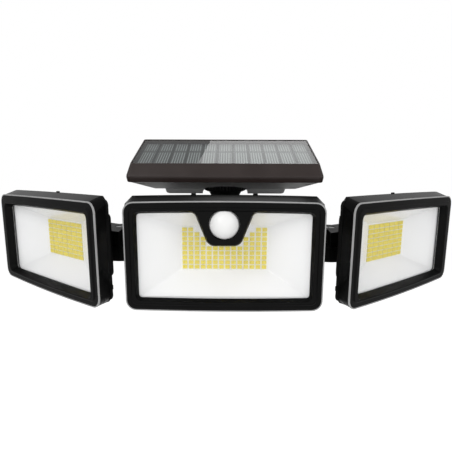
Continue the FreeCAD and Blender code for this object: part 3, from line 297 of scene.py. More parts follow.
def moulded_plastic(name, code, worn, rough, grain_mm, depth_mm, specular):
    """Injection-moulded plastic: one colour, a fine spark-eroded grain and faint flow marks in the gloss."""
    m = new_material(name)
    place = add_node(m, "ShaderNodeTexCoord").outputs["Object"]
    grain = add_node(m, "ShaderNodeTexNoise", {"Vector": place, "Scale": 1.0 / (grain_mm * MM),
                                               "Detail": 3.0})
    flow = add_node(m, "ShaderNodeTexNoise", {"Vector": place, "Scale": 1.0 / (18.0 * MM), "Detail": 2.0})
    colour = ramp(m, flow.outputs["Fac"], ((0.3, linear(code)), (0.7, linear(worn))))
    gloss = add_node(m, "ShaderNodeMapRange", {"Value": flow.outputs["Fac"], "From Min": 0.3, "From Max": 0.7,
                                               "To Min": rough * 0.9, "To Max": rough * 1.1})
    bump = add_node(m, "ShaderNodeBump", {"Height": grain.outputs["Fac"], "Strength": 0.6,
                                          "Distance": depth_mm * MM})
    shader = add_node(m, "ShaderNodeBsdfPrincipled", {
        "Base Color": colour.outputs["Color"], "Roughness": gloss.outputs["Result"],
        "Normal": bump.outputs["Normal"], "IOR": 1.5, "Specular IOR Level": specular})
    return finish_material(m, shader)


def clear_polycarbonate():
    """Clear moulded window: almost nothing to see but a faint cold tint and a little shine."""
    m = new_material("clear_polycarbonate")
    place = add_node(m, "ShaderNodeTexCoord").outputs["Object"]
    wave = add_node(m, "ShaderNodeTexNoise", {"Vector": place, "Scale": 1.0 / (30.0 * MM)})
    bump = add_node(m, "ShaderNodeBump", {"Height": wave.outputs["Fac"], "Strength": 0.1,
                                          "Distance": 0.05 * MM})
    shader = add_node(m, "ShaderNodeBsdfPrincipled", {
        "Base Color": linear("#f4f6f8"), "Roughness": 0.04, "IOR": 1.585, "Alpha": 0.06,
        "Normal": bump.outputs["Normal"]})
    return finish_material(m, shader)


def led_phosphor():
    """Yellow phosphor under clear silicone: a strong yellow with slightly paler specks."""
    m = new_material("led_phosphor")
    place = add_node(m, "ShaderNodeTexCoord").outputs["Object"]
    speck = add_node(m, "ShaderNodeTexNoise", {"Vector": place, "Scale": 1.0 / (1.6 * MM), "Detail": 2.0})
    colour = ramp(m, speck.outputs["Fac"], ((0.32, linear("#d8c20c")), (0.68, linear("#e8d724"))))
    shader = add_node(m, "ShaderNodeBsdfPrincipled", {
        "Base Color": colour.outputs["Color"], "Roughness": 0.3, "IOR": 1.41, "Specular IOR Level": 0.3})
    return finish_material(m, shader)


def zinc_steel():
    """Zinc-plated steel: grey metal with a soft mottled shine."""
    m = new_material("zinc_plated_steel")
    place = add_node(m, "ShaderNodeTexCoord").outputs["Object"]
    mottle = add_node(m, "ShaderNodeTexNoise", {"Vector": place, "Scale": 1.0 / (1.2 * MM), "Detail": 4.0})
    colour = ramp(m, mottle.outputs["Fac"], ((0.3, linear("#9c9d9e")), (0.7, linear("#c4c5c4"))))
    rough = add_node(m, "ShaderNodeMapRange", {"Value": mottle.outputs["Fac"], "To Min": 0.25, "To Max": 0.5})
    shader = add_node(m, "ShaderNodeBsdfPrincipled", {
        "Base Color": colour.outputs["Color"], "Metallic": 1.0, "Roughness": rough.outputs["Result"]})
    return finish_material(m, shader)


def solar_silicon():
    """Dark grey silicon with printed grey fingers, which stop short of a plain bar in the middle."""
    m = new_material("screen_printed_silicon")
    place = add_node(m, "ShaderNodeTexCoord").outputs["Object"]
    split = add_node(m, "ShaderNodeSeparateXYZ", {"Vector": place})
    fingers = add_node(m, "ShaderNodeTexWave", {"Vector": place, "Scale": FINGER_SCALE, "Distortion": 0.0},
                       wave_type="BANDS", bands_direction="X", wave_profile="SIN")
    across = add_node(m, "ShaderNodeMath", {0: split.outputs["Z"], 1: BAR_Z * MM}, operation="SUBTRACT")
    away = add_node(m, "ShaderNodeMath", {0: across.outputs[0]}, operation="ABSOLUTE")
    printed = add_node(m, "ShaderNodeMath", {0: away.outputs[0], 1: BAR_HALF * MM}, operation="GREATER_THAN")
    lines = add_node(m, "ShaderNodeMath", {0: fingers.outputs["Fac"], 1: printed.outputs[0]},
                     operation="MULTIPLY")
    colour = ramp(m, lines.outputs[0], ((0.35, linear("#2a2b2d")), (0.95, linear("#9b9c9e"))))
    shader = add_node(m, "ShaderNodeBsdfPrincipled", {
        "Base Color": colour.outputs["Color"], "Roughness": 0.35, "IOR": 1.6, "Specular IOR Level": 0.3})
    return finish_material(m, shader)


def float_glass():
    """Flat cover glass: clear from above, a mirror at a flat angle, with a trace of dust in its gloss.

    Its inner sides don't mirror, so the cells below it show.
    """
    m = new_material("float_glass")
    place = add_node(m, "ShaderNodeTexCoord").outputs["Object"]
    dust = add_node(m, "ShaderNodeTexNoise", {"Vector": place, "Scale": 1.0 / (9.0 * MM), "Detail": 4.0})
    rough = add_node(m, "ShaderNodeMapRange", {"Value": dust.outputs["Fac"], "To Min": 0.01, "To Max": 0.03})
    clear = add_node(m, "ShaderNodeBsdfTransparent", {"Color": linear("#f2f5f4")})
    mirror = add_node(m, "ShaderNodeBsdfGlossy", {"Roughness": rough.outputs["Result"]})
    inside = add_node(m, "ShaderNodeNewGeometry").outputs["Backfacing"]
    bend = add_node(m, "ShaderNodeMath", {0: inside, 1: 1.0 - GLASS_IOR, 2: GLASS_IOR},
                    operation="MULTIPLY_ADD")
    angle = add_node(m, "ShaderNodeFresnel", {"IOR": bend.outputs[0]})
    shader = add_node(m, "ShaderNodeMixShader", {0: angle.outputs[0], 1: clear.outputs[0],
                                                 2: mirror.outputs[0]})
    return finish_material(m, shader)


# Front frames, covers, arms and rear body: near black with a fine grain that holds back the shine
BLACK = moulded_plastic("satin_black_abs", "#0b0b0b", "#0e0e0e", 0.42, 0.6, 0.012, 0.06)
# Housings: smooth black with a low, even shine along their edges
GLOSS = moulded_plastic("polished_black_abs", "#060606", "#080808", 0.18, 0.6, 0.002, 0.07)
# Panel frame: a brownish black that shows against the heads
PANEL_BLACK = moulded_plastic("warm_black_abs", "#29211f", "#2e2624", 0.38, 0.6, 0.012, 0.3)
# Panel back: black plastic painted a plain grey, lighter than the frame above it: painted light standing in
# for the light it catches from below
BACK_PAINTED_LIGHT_GREY = moulded_plastic("black_abs_painted_lit_grey", "#9a9a9a", "#a0a0a0", 0.5, 0.8, 0.02, 0.3)
# Reflectors: bright white, smooth enough to mirror the LEDs faintly
REFLECTOR = moulded_plastic("polished_white_abs", "#efefef", "#f1f1f1", 0.15, 0.8, 0.002, 0.8)
# LED boards: flat white between the LEDs
BOARD = moulded_plastic("white_solder_mask", "#eeeeee", "#f2f2f2", 0.45, 0.4, 0.004, 0.5)
# Sensor dome: milky white with a soft shine
DOME = moulded_plastic("milky_polyethylene", "#e0e0df", "#e6e6e5", 0.38, 0.9, 0.05, 0.4)
# Control board: dark green lacquer
GREEN_BOARD = moulded_plastic("green_solder_mask", "#14502a", "#1a5c31", 0.3, 0.4, 0.004, 0.5)
# Board behind the cells: dark and dull between the strips
DARK_BOARD = moulded_plastic("dark_solder_mask", "#202124", "#26272a", 0.5, 0.4, 0.004, 0.3)
# Cup round the ball: off-white and waxy
CUP_WHITE = moulded_plastic("white_acetal", "#dcdcd8", "#e4e4e0", 0.35, 0.6, 0.004, 0.5)
# Seals: a dull light grey line round each head, its grey a painted highlight along the front edge of each
# head's rim
SEAL_PAINTED_HIGHLIGHT = moulded_plastic("seal_painted_highlight_grey", "#8e8e8e", "#9a9a9a", 0.55, 0.5, 0.006, 0.4)
# Mode button: dull black
BUTTON_BLACK = moulded_plastic("soft_black_rubber", "#1a1a1a", "#202020", 0.7, 0.5, 0.01, 0.3)
# Battery cells: blue sleeve with a clean shine
CELL_WRAP = moulded_plastic("blue_shrink_wrap", "#1d3f7c", "#244a8c", 0.3, 2.0, 0.02, 0.5)
# LED cases: a pale yellow edge round each phosphor
LED_CASE = moulded_plastic("pale_yellow_led_case", "#e2d35c", "#e7da6c", 0.4, 0.3, 0.002, 0.5)
WINDOW = clear_polycarbonate()
PHOSPHOR = led_phosphor()
STEEL = zinc_steel()
SILICON = solar_silicon()
GLASS = float_glass()

SLOT_MATERIALS = {
    "black_satin": BLACK, "black_gloss": GLOSS, "clear_window": WINDOW, "grey_rubber": SEAL_PAINTED_HIGHLIGHT,
    "white_reflector": REFLECTOR, "white_board": BOARD, "led_phosphor": PHOSPHOR, "dome_white": DOME,
    "sensor_can": STEEL, "board_green": GREEN_BOARD, "screw_steel": STEEL, "ball_steel": STEEL,
    "cell_wrap": CELL_WRAP, "white_cup": CUP_WHITE, "button_rubber": BUTTON_BLACK, "solar_glass": GLASS,
    "silicon": SILICON, "dark_board": DARK_BOARD}
NODE_SLOTS = {part["node"]: part["material_slot"] for part in frame["record"]["subparts"]}
for node_name, node_object in NODES.items():
    node_object.data.materials.clear()
    node_object.data.materials.append(SLOT_MATERIALS[NODE_SLOTS[node_name]])


# Modelling

def outline(w, h, y, corner, x=0.0, z=0.0, bow=(0.0, 0.0), flat=False):
    """One closed outline of a loft, across the front at depth y; bow lifts its top and foot."""
    return SimpleNamespace(w=w, h=h, y=y, corner=corner, x=x, z=z, bow=bow, flat=flat)


def only(*pieces):
    """Selects the pieces and makes the first one active."""
    bpy.ops.object.select_all(action="DESELECT")
    for piece in pieces:
        piece.select_set(True)
    bpy.context.view_layer.objects.active = pieces[0]


def named(piece, name):
    """Gives a piece and its mesh one name."""
    piece.name = name
    piece.data.name = name
    return piece


def select_group(piece, names):
    """Selects only the points of the named vertex groups."""
    bpy.ops.mesh.select_all(action="DESELECT")
    for name in names:
        piece.vertex_groups.active_index = piece.vertex_groups[name].index
        bpy.ops.object.vertex_group_select()


def draw_outline(piece, o, name):
    """A plane with its corners bevelled and its long edges cut and bowed, left as a loop of edges."""
    bpy.ops.mesh.select_mode(type="EDGE")
    bpy.ops.mesh.select_all(action="DESELECT")
    older = len(bmesh.from_edit_mesh(piece.data).verts)
    bpy.ops.mesh.primitive_plane_add(size=1.0, location=(o.x, o.y, o.z), rotation=(math.pi / 2, 0.0, 0.0))
    bpy.ops.transform.resize(value=(o.w, 1.0, o.h), center_override=(o.x, o.y, o.z))
    bpy.ops.mesh.bevel(offset=o.corner, offset_type="OFFSET", segments=CORNER_CUTS, affect="VERTICES",
                       profile=FLAT_PROFILE if o.flat else ROUND_PROFILE)
    bpy.ops.mesh.delete(type="ONLY_FACE")
    straight = o.w - 2 * o.corner
    bm = bmesh.from_edit_mesh(piece.data)
    bm.verts.index_update()
    for edge in bm.edges:
        across = abs(edge.verts[0].co.x - edge.verts[1].co.x)
        edge.select = min(v.index for v in edge.verts) >= older and across > 0.9 * straight
    bmesh.update_edit_mesh(piece.data)
    bpy.ops.mesh.subdivide(number_cuts=EDGE_CUTS)
    bm = bmesh.from_edit_mesh(piece.data)
    bm.verts.index_update()
    for vert in bm.verts:
        vert.select = vert.index >= older
        share = abs(vert.co.x - o.x) / (straight / 2)
        if vert.select and share < 0.999:
            side = 1 if vert.co.z > o.z else -1
            vert.co.z += side * (o.bow[0] if side > 0 else o.bow[1]) * (1.0 - share ** 2)
    bmesh.update_edit_mesh(piece.data)
    piece.vertex_groups.active_index = piece.vertex_groups.new(name=name).index
    bpy.ops.object.vertex_group_assign()
    bpy.ops.mesh.select_mode(type="VERT")


def bridge(piece, first, second):
    """Bridges two outlines. They are pulled apart first: flat nested loops can be bridged the wrong way."""
    for group, shift in ((first, -PULL), (second, PULL)):
        select_group(piece, [group])
        bpy.ops.transform.translate(value=(0.0, shift, 0.0))
    select_group(piece, (first, second))
    bpy.ops.mesh.bridge_edge_loops()
    for group, shift in ((first, PULL), (second, -PULL)):
        select_group(piece, [group])
        bpy.ops.transform.translate(value=(0.0, shift, 0.0))


def loft(name, outlines, ring=False):
    """Outlines bridged one to the next. A ring is closed on itself; otherwise both ends get a face."""
    bpy.ops.object.select_all(action="DESELECT")
    bpy.ops.mesh.primitive_plane_add(size=1.0)
    piece = named(bpy.context.active_object, name)
    bpy.ops.object.mode_set(mode="EDIT")
    bpy.ops.mesh.select_mode(type="VERT")
    bpy.ops.mesh.select_all(action="SELECT")
    bpy.ops.mesh.delete(type="VERT")
    names = ["loop_%d" % i for i in range(len(outlines))]
    for o, loop in zip(outlines, names):
        draw_outline(piece, o, loop)
    pairs = list(zip(names, names[1:]))
    if ring:
        pairs.append((names[-1], names[0]))
    for pair in pairs:
        bridge(piece, *pair)
    if not ring:
        for loop in (names[0], names[-1]):
            select_group(piece, [loop])
            bpy.ops.mesh.edge_face_add()
    bpy.ops.mesh.select_all(action="SELECT")
    bpy.ops.mesh.normals_make_consistent(inside=False)
    bpy.ops.object.mode_set(mode="OBJECT")
    piece.vertex_groups.clear()
    return piece


def turned(name, profile, at=(0.0, 0.0), segments=64):
    """A circle extruded and resized through a list of (radius, height), as on a lathe."""
    bpy.ops.object.select_all(action="DESELECT")
    radius, height = profile[0]
    bpy.ops.mesh.primitive_circle_add(vertices=segments, radius=max(radius, 0.01),
                                      location=(at[0], at[1], height))
    piece = named(bpy.context.active_object, name)
    bpy.ops.object.transform_apply(location=True)
    bpy.ops.object.mode_set(mode="EDIT")
    bpy.ops.mesh.select_all(action="SELECT")
    for next_radius, next_height in profile[1:]:
        bpy.ops.mesh.extrude_edges_move(TRANSFORM_OT_translate={"value": (0.0, 0.0, next_height - height)})
        scale = max(next_radius, 0.01) / max(radius, 0.01)
        bpy.ops.transform.resize(value=(scale, scale, 1.0), center_override=(at[0], at[1], next_height))
        radius, height = next_radius, next_height
    bpy.ops.mesh.select_all(action="SELECT")
    bpy.ops.mesh.remove_doubles(threshold=0.03)
    bpy.ops.mesh.normals_make_consistent(inside=False)
    bpy.ops.object.mode_set(mode="OBJECT")
    return piece


def block(name, x0, x1, y0, y1, z0, z1, width=0.4, segments=3, axis=None):
    """A cube pulled to size with its edges broken; axis picks only the edges that run along it."""
    bpy.ops.object.select_all(action="DESELECT")
    bpy.ops.mesh.primitive_cube_add(size=1.0, location=((x0 + x1) / 2, (y0 + y1) / 2, (z0 + z1) / 2),
                                    scale=(abs(x1 - x0), y1 - y0, z1 - z0))
    piece = named(bpy.context.active_object, name)
    bpy.ops.object.transform_apply(location=True, scale=True)
    if not width:
        return piece
    bpy.ops.object.mode_set(mode="EDIT")
    bpy.ops.mesh.select_mode(type="EDGE")
    bpy.ops.mesh.select_all(action="DESELECT")
    bm = bmesh.from_edit_mesh(piece.data)
    for edge in bm.edges:
        reach = edge.verts[0].co - edge.verts[1].co
        edge.select = axis is None or abs(getattr(reach, axis)) > 0.999 * reach.length
    bmesh.update_edit_mesh(piece.data)
    bpy.ops.mesh.bevel(offset=width, segments=segments, affect="EDGES")
    bpy.ops.object.mode_set(mode="OBJECT")
    return piece


def rod(name, radius, start, end, segments=48):
    """A round bar from one point to another."""
    bpy.ops.object.select_all(action="DESELECT")
    reach = Vector(end) - Vector(start)
    bpy.ops.mesh.primitive_cylinder_add(vertices=segments, radius=radius, depth=reach.length,
                                        location=(Vector(start) + Vector(end)) / 2,
                                        rotation=reach.to_track_quat("Z", "Y").to_euler())
    piece = named(bpy.context.active_object, name)
    bpy.ops.object.transform_apply(location=True, rotation=True)
    return piece


def combined(piece, tool, operation):
    """Adds the tool to the piece or takes it away, then drops the tool."""
    change = piece.modifiers.new("combine", "BOOLEAN")
    change.operation = operation
    change.solver = "EXACT"
    change.object = tool
    only(piece)
    bpy.ops.object.modifier_apply(modifier=change.name)
    bpy.data.objects.remove(tool)
    return piece


def cut(piece, *tools):
    """Takes each tool away from the piece."""
    for tool in tools:
        combined(piece, tool, "DIFFERENCE")
    return piece


def fused(piece, *tools):
    """Adds each tool to the piece."""
    for tool in tools:
        combined(piece, tool, "UNION")
    return piece


def soften(piece, width, segments=3, angle=30.0):
    """Breaks the edges that turn by more than the angle."""
    bevel = piece.modifiers.new("soft_edges", "BEVEL")
    bevel.width = width
    bevel.segments = segments
    bevel.limit_method = "ANGLE"
    bevel.angle_limit = math.radians(angle)
    only(piece)
    bpy.ops.object.modifier_apply(modifier=bevel.name)
    return piece


def joined(name, pieces):
    """Several pieces made one object."""
    only(*pieces)
    bpy.ops.object.join()
    return named(pieces[0], name)


def copied(first, name, places):
    """Copies of one piece at every place, as one object; the first one is dropped."""
    copies = []
    for place in places:
        copy = first.copy()
        copy.data = first.data.copy()
        copy.data.transform(Matrix.Translation(place))
        bpy.context.scene.collection.objects.link(copy)
        copies.append(copy)
    bpy.data.objects.remove(first)
    return joined(name, copies)


def settle(piece, matrix, material, body, *nodes, smooth=35.0):
    """Puts a finished piece in the light, gives it its finish and ties it to its body and nodes."""
    piece.data.transform(matrix)
    piece.data.transform(Matrix.Scale(MM, 4))
    only(piece)
    bpy.ops.object.shade_smooth_by_angle(angle=math.radians(smooth))
    # flat faces keep a flat shine beside their broken edges
    flats = piece.modifiers.new("flats", "WEIGHTED_NORMAL")
    flats.keep_sharp = True
    bpy.ops.object.modifier_apply(modifier="flats")
    if material:
        piece.data.materials.clear()
        piece.data.materials.append(material)
    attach(piece, body)
    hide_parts(*nodes)
    return piece


# Lamp heads

def front_frame(h, name):
    """Stepped front frame: thin edge, low outer band, raised ring, slope down to the window."""
    ring_w, ring_h = h.w - 2 * STEP_IN, h.h - 2 * STEP_IN
    body_w, body_h = h.w - 2 * EDGE_IN, h.h - 2 * EDGE_IN
    piece = loft(name, [
        outline(body_w, body_h, h.front_t, CORNER_R - EDGE_IN, bow=h.bow),
        outline(body_w, body_h, FLANGE_T, CORNER_R - EDGE_IN, bow=h.bow),
        outline(h.w, h.h, FLANGE_T, CORNER_R, bow=h.bow),
        outline(h.w, h.h, 0.0, CORNER_R, bow=h.bow),
        outline(ring_w, ring_h, 0.0, STEP_R, bow=h.bow),
        outline(ring_w - 2 * STEP_SLOPE, ring_h - 2 * STEP_SLOPE, -RING_PROUD, RING_CORNER_R, bow=h.bow),
        outline(h.win_w + 2 * h.funnel, h.win_h + 2 * h.funnel, -RING_PROUD, WINDOW_R + h.funnel, z=h.win_z,
                bow=h.bow),
        outline(h.win_w, h.win_h, h.front_t, WINDOW_R, z=h.win_z, bow=h.bow)], ring=True)
    return soften(piece, 0.25)


def lens_hole(h, y):
    """Outline of the hole that the window sits in."""
    grow = 2 * (LENS_LAP + LENS_ROOM)
    return outline(h.win_w + grow, h.win_h + grow, y, LENS_R + LENS_ROOM, z=h.win_z, bow=h.bow)


def seal_ring(h, name):
    """Seal of grey rubber, its light grey a painted highlight: a collar round the front frame's edge, a wall
    behind it and a frame behind the bezel.
    """
    deep = h.front_t + SEAL_T - HAIR
    inner = h.w - 2 * EDGE_IN + 2 * HAIR, h.h - 2 * EDGE_IN + 2 * HAIR
    rim = h.w + 2 * HAIR, h.h + 2 * HAIR
    collar = h.w + 2 * SEAL_LIP, h.h + 2 * SEAL_LIP
    wall = h.w - 2 * SEAL_IN - 2 * HAIR, h.h - 2 * SEAL_IN - 2 * HAIR
    piece = loft(name, [
        lens_hole(h, h.front_t + HAIR),
        outline(inner[0], inner[1], h.front_t + HAIR, CORNER_R - EDGE_IN, bow=h.bow),
        outline(inner[0], inner[1], FLANGE_T + HAIR, CORNER_R - EDGE_IN, bow=h.bow),
        outline(rim[0], rim[1], FLANGE_T + HAIR, CORNER_R, bow=h.bow),
        outline(rim[0], rim[1], SEAL_FRONT, CORNER_R, bow=h.bow),
        outline(collar[0], collar[1], SEAL_FRONT, CORNER_R + SEAL_LIP, bow=h.bow),
        outline(collar[0], collar[1], SEAL_BACK - HAIR, CORNER_R + SEAL_LIP, bow=h.bow),
        outline(wall[0], wall[1], SEAL_BACK - HAIR, CORNER_R - SEAL_IN, bow=h.bow),
        outline(wall[0], wall[1], deep, CORNER_R - SEAL_IN, bow=h.bow),
        lens_hole(h, deep)], ring=True)
    return soften(piece, 0.08, segments=2)


def rear_outline(h, y):
    """The head's rear edge: it reaches higher than the front frame and its corners are cut."""
    return outline(h.w + 2 * h.rear_x, h.h + h.rear_top, y, CORNER_CUT, z=h.rear_top / 2, bow=h.bow,
                   flat=True)


def tray(h, name):
    """Housing: an open tray whose corners turn from round to cut."""
    ledge, back = h.front_t + SEAL_T, TRAY - HAIR
    w, hh = h.w + 2 * HOUSING_LIP, h.h + 2 * HOUSING_LIP
    inner = h.w - 2 * SEAL_IN, h.h - 2 * SEAL_IN
    piece = loft(name, [
        outline(w, hh, SEAL_BACK, CORNER_R + HOUSING_LIP, bow=h.bow),
        rear_outline(h, back),
        lens_hole(h, back),
        lens_hole(h, ledge),
        outline(inner[0], inner[1], ledge, CORNER_R - SEAL_IN, bow=h.bow),
        outline(inner[0], inner[1], SEAL_BACK, CORNER_R - SEAL_IN, bow=h.bow)], ring=True)
    return soften(piece, 0.2, angle=50.0)


def board_size(h):
    """Across and up: the white part of the LED board that shows in the reflector."""
    return ((h.cols - 1) * h.pitch_x + h.led[0] + 2 * BOARD_MARGIN,
            (h.rows - 1) * h.pitch_z + h.led[1] + 2 * BOARD_MARGIN)


def window_pane(h, name):
    """Clear pane behind the front frame, with its edge broken."""
    w, hh = h.win_w + 2 * LENS_LAP - 0.1, h.win_h + 2 * LENS_LAP - 0.1
    piece = loft(name, [
        outline(w, hh, h.front_t + 0.05, LENS_R, z=h.win_z, bow=h.bow),
        outline(w, hh, h.front_t + LENS_T - 0.05, LENS_R, z=h.win_z, bow=h.bow)])
    return soften(piece, 0.2, angle=60.0)


def light_tray(h, name, led_x):
    """White reflector: flange behind the window and four slopes down to the LED board."""
    bw, bh = board_size(h)
    front = h.front_t + LENS_T + HAIR
    t = REFLECTOR_T
    flange_w, flange_h = h.win_w + 2 * LENS_LAP - 0.4, h.win_h + 2 * LENS_LAP - 0.4
    piece = loft(name, [
        outline(flange_w, flange_h, front, FLANGE_R, z=h.win_z),
        outline(h.win_w, h.win_h, front, TROUGH_R, z=h.win_z),
        outline(bw, bh, h.board_y - HAIR, TROUGH_R, x=led_x, z=h.led_z),
        outline(bw + 2 * t, bh + 2 * t, h.board_y - HAIR, TROUGH_OUTER_R, x=led_x, z=h.led_z),
        outline(h.win_w + 2 * t, h.win_h + 2 * t, front + t, TROUGH_OUTER_R, z=h.win_z),
        outline(flange_w, flange_h, front + t, FLANGE_R, z=h.win_z)], ring=True)
    return soften(piece, 0.25, angle=50.0)


def light_board(h, name, led_x):
    """White circuit board under the emitters, its rim behind the reflector."""
    bw, bh = board_size(h)
    w, hh = bw + 2 * BOARD_LAP - 0.1, bh + 2 * BOARD_LAP - 0.1
    piece = loft(name, [outline(w, hh, h.board_y + HAIR, 2.0, x=led_x, z=h.led_z),
                        outline(w, hh, h.board_y + BOARD_T - HAIR, 2.0, x=led_x, z=h.led_z)])
    return soften(piece, 0.15, angle=60.0)


def emitter(h):
    """One LED package: a small block with its phosphor face let in."""
    w, t = h.led
    piece = block("emitter", -w / 2, w / 2, -LED_T / 2, LED_T / 2, -t / 2, t / 2, width=0.0)
    piece.data.materials.append(LED_CASE)
    piece.data.materials.append(PHOSPHOR)
    bpy.ops.object.mode_set(mode="EDIT")
    bpy.ops.mesh.select_mode(type="FACE")
    bpy.ops.mesh.select_all(action="DESELECT")
    bm = bmesh.from_edit_mesh(piece.data)
    for face in bm.faces:
        face.select = face.normal.y < -0.9
    bmesh.update_edit_mesh(piece.data)
    bpy.ops.mesh.inset(thickness=LED_EDGE, depth=0.0)
    bpy.ops.mesh.inset(thickness=LED_SINK, depth=-LED_SINK)
    piece.active_material_index = 1
    bpy.ops.object.material_slot_assign()
    bpy.ops.object.mode_set(mode="OBJECT")
    return piece


def led_places(h, led_x):
    """The board's grid from the top; the middle head leaves out those behind the tongue."""
    for row in range(h.rows):
        for col in range(h.cols):
            from_side = min(col, h.cols - 1 - col)
            if h.name == "centre" and row < len(NO_LED_FROM) and from_side >= NO_LED_FROM[row]:
                continue
            yield (led_x + (col - (h.cols - 1) / 2.0) * h.pitch_x, h.board_y - LED_T / 2 - HAIR,
                   h.led_z + ((h.rows - 1) / 2.0 - row) * h.pitch_z)


def screw_points(h):
    """Places of the four cover screws."""
    x, z, rise = h.w / 2 - EAR_IN, h.h / 2 - EAR_IN, h.rear_top / 2
    return [(-x, rise - z), (x, rise - z), (-x, rise + z), (x, rise + z)]


def tilt_lug(name, x0, x1, h):
    """Cheek behind a cover: a block with a round end, drilled for the tilt bolt."""
    root = h.back_y - 1.0
    bar = block(name, x0, x1, root, h.tilt_y, h.tilt_z - h.lug_half, h.tilt_z + h.lug_half, width=0.0)
    bpy.ops.object.mode_set(mode="EDIT")
    bpy.ops.mesh.select_mode(type="VERT")
    bpy.ops.mesh.select_all(action="DESELECT")
    bm = bmesh.from_edit_mesh(bar.data)
    for vert in bm.verts:
        vert.select = vert.co.y > h.tilt_y - 0.1
    bmesh.update_edit_mesh(bar.data)
    bpy.ops.transform.resize(value=(1.0, 1.0, TILT_R / h.lug_half),
                             center_override=((x0 + x1) / 2, h.tilt_y, h.tilt_z))
    bpy.ops.object.mode_set(mode="OBJECT")
    fused(bar, rod("lug_end", TILT_R, (x0, h.tilt_y, h.tilt_z), (x1, h.tilt_y, h.tilt_z)))
    cut(bar, rod("lug_hole", BOLT_R, (x0 - 1, h.tilt_y, h.tilt_z), (x1 + 1, h.tilt_y, h.tilt_z)))
    return soften(bar, 0.4, angle=40.0)


def back_cover(h, name, side):
    """Cover plate with ears and clips, a raised hollow box and the lugs of the tilt joint."""
    bw, bh = h.box
    s = COVER_SKIN
    deep = bw - 2 * h.box_in, bh - 2 * h.box_in
    front, back = TRAY + HAIR, TRAY + COVER_T
    shell = loft(name, [
        outline(deep[0] - 2 * s, deep[1] - 2 * s, h.back_y - s, 2.5),
        outline(bw - 2 * s, bh - 2 * s, front, 4.0),
        rear_outline(h, front),
        rear_outline(h, back),
        outline(bw - 0.5, bh - 0.5, back, 6.0),
        outline(deep[0], deep[1], h.back_y, 4.0)])
    board_w, board_h = board_size(h)
    cut(shell, loft("room", [
        outline(h.win_w + 2 * COVER_RELIEF, h.win_h + 2 * COVER_RELIEF, h.front_t + LENS_T, 1.2, z=h.win_z),
        outline(board_w + 2 * COVER_RELIEF, board_h + 2 * COVER_RELIEF, h.board_y, 1.2, x=-side * h.led_x,
                z=h.led_z)]))
    pieces = [soften(shell, 0.4, angle=40.0)]
    for x, z in screw_points(h):
        pieces.append(soften(rod("ear", EAR_R, (x, front + 0.1, z), (x, back + 0.01, z)), 0.4))
    edge, top = h.w / 2 + h.rear_x, h.h / 2 + h.rear_top + h.bow[0]
    for x in h.clips_x:
        at = x if side <= 0 else -x
        pieces.append(block("clip", at - CLIP[0] / 2, at + CLIP[0] / 2, back - CLIP[2], back, top - 2.0,
                            top + CLIP[1]))
    for z in h.clips_z:
        for x0, x1 in ((edge - 1.0, edge + CLIP[1]), (-edge - CLIP[1], 1.0 - edge)):
            pieces.append(block("clip", x0, x1, back - CLIP[2], back, z - CLIP[0] / 2, z + CLIP[0] / 2))
    for x0, x1 in h.lugs:
        pieces.append(tilt_lug("lug", x0, x1, h))
    return joined(name, pieces)


def pan_head(name, shank, head, length):
    """Pan-head screw along Y with a cross in its head, its seat at the origin."""
    profile = [(0.0, -length), (shank, -length), (shank, 0.0), (head, 0.0), (head, 0.9), (head * 0.8, 1.4),
               (head * 0.4, 1.6), (0.0, 1.6)]
    piece = turned(name, profile, segments=32)
    piece.data.transform(Matrix.Rotation(-math.pi / 2, 4, "X"))
    cut(piece, block("bit", -1.4, 1.4, 0.8, 2.0, -0.3, 0.3, width=0.0),
        block("bit", -0.3, 0.3, 0.8, 2.0, -1.4, 1.4, width=0.0))
    return piece


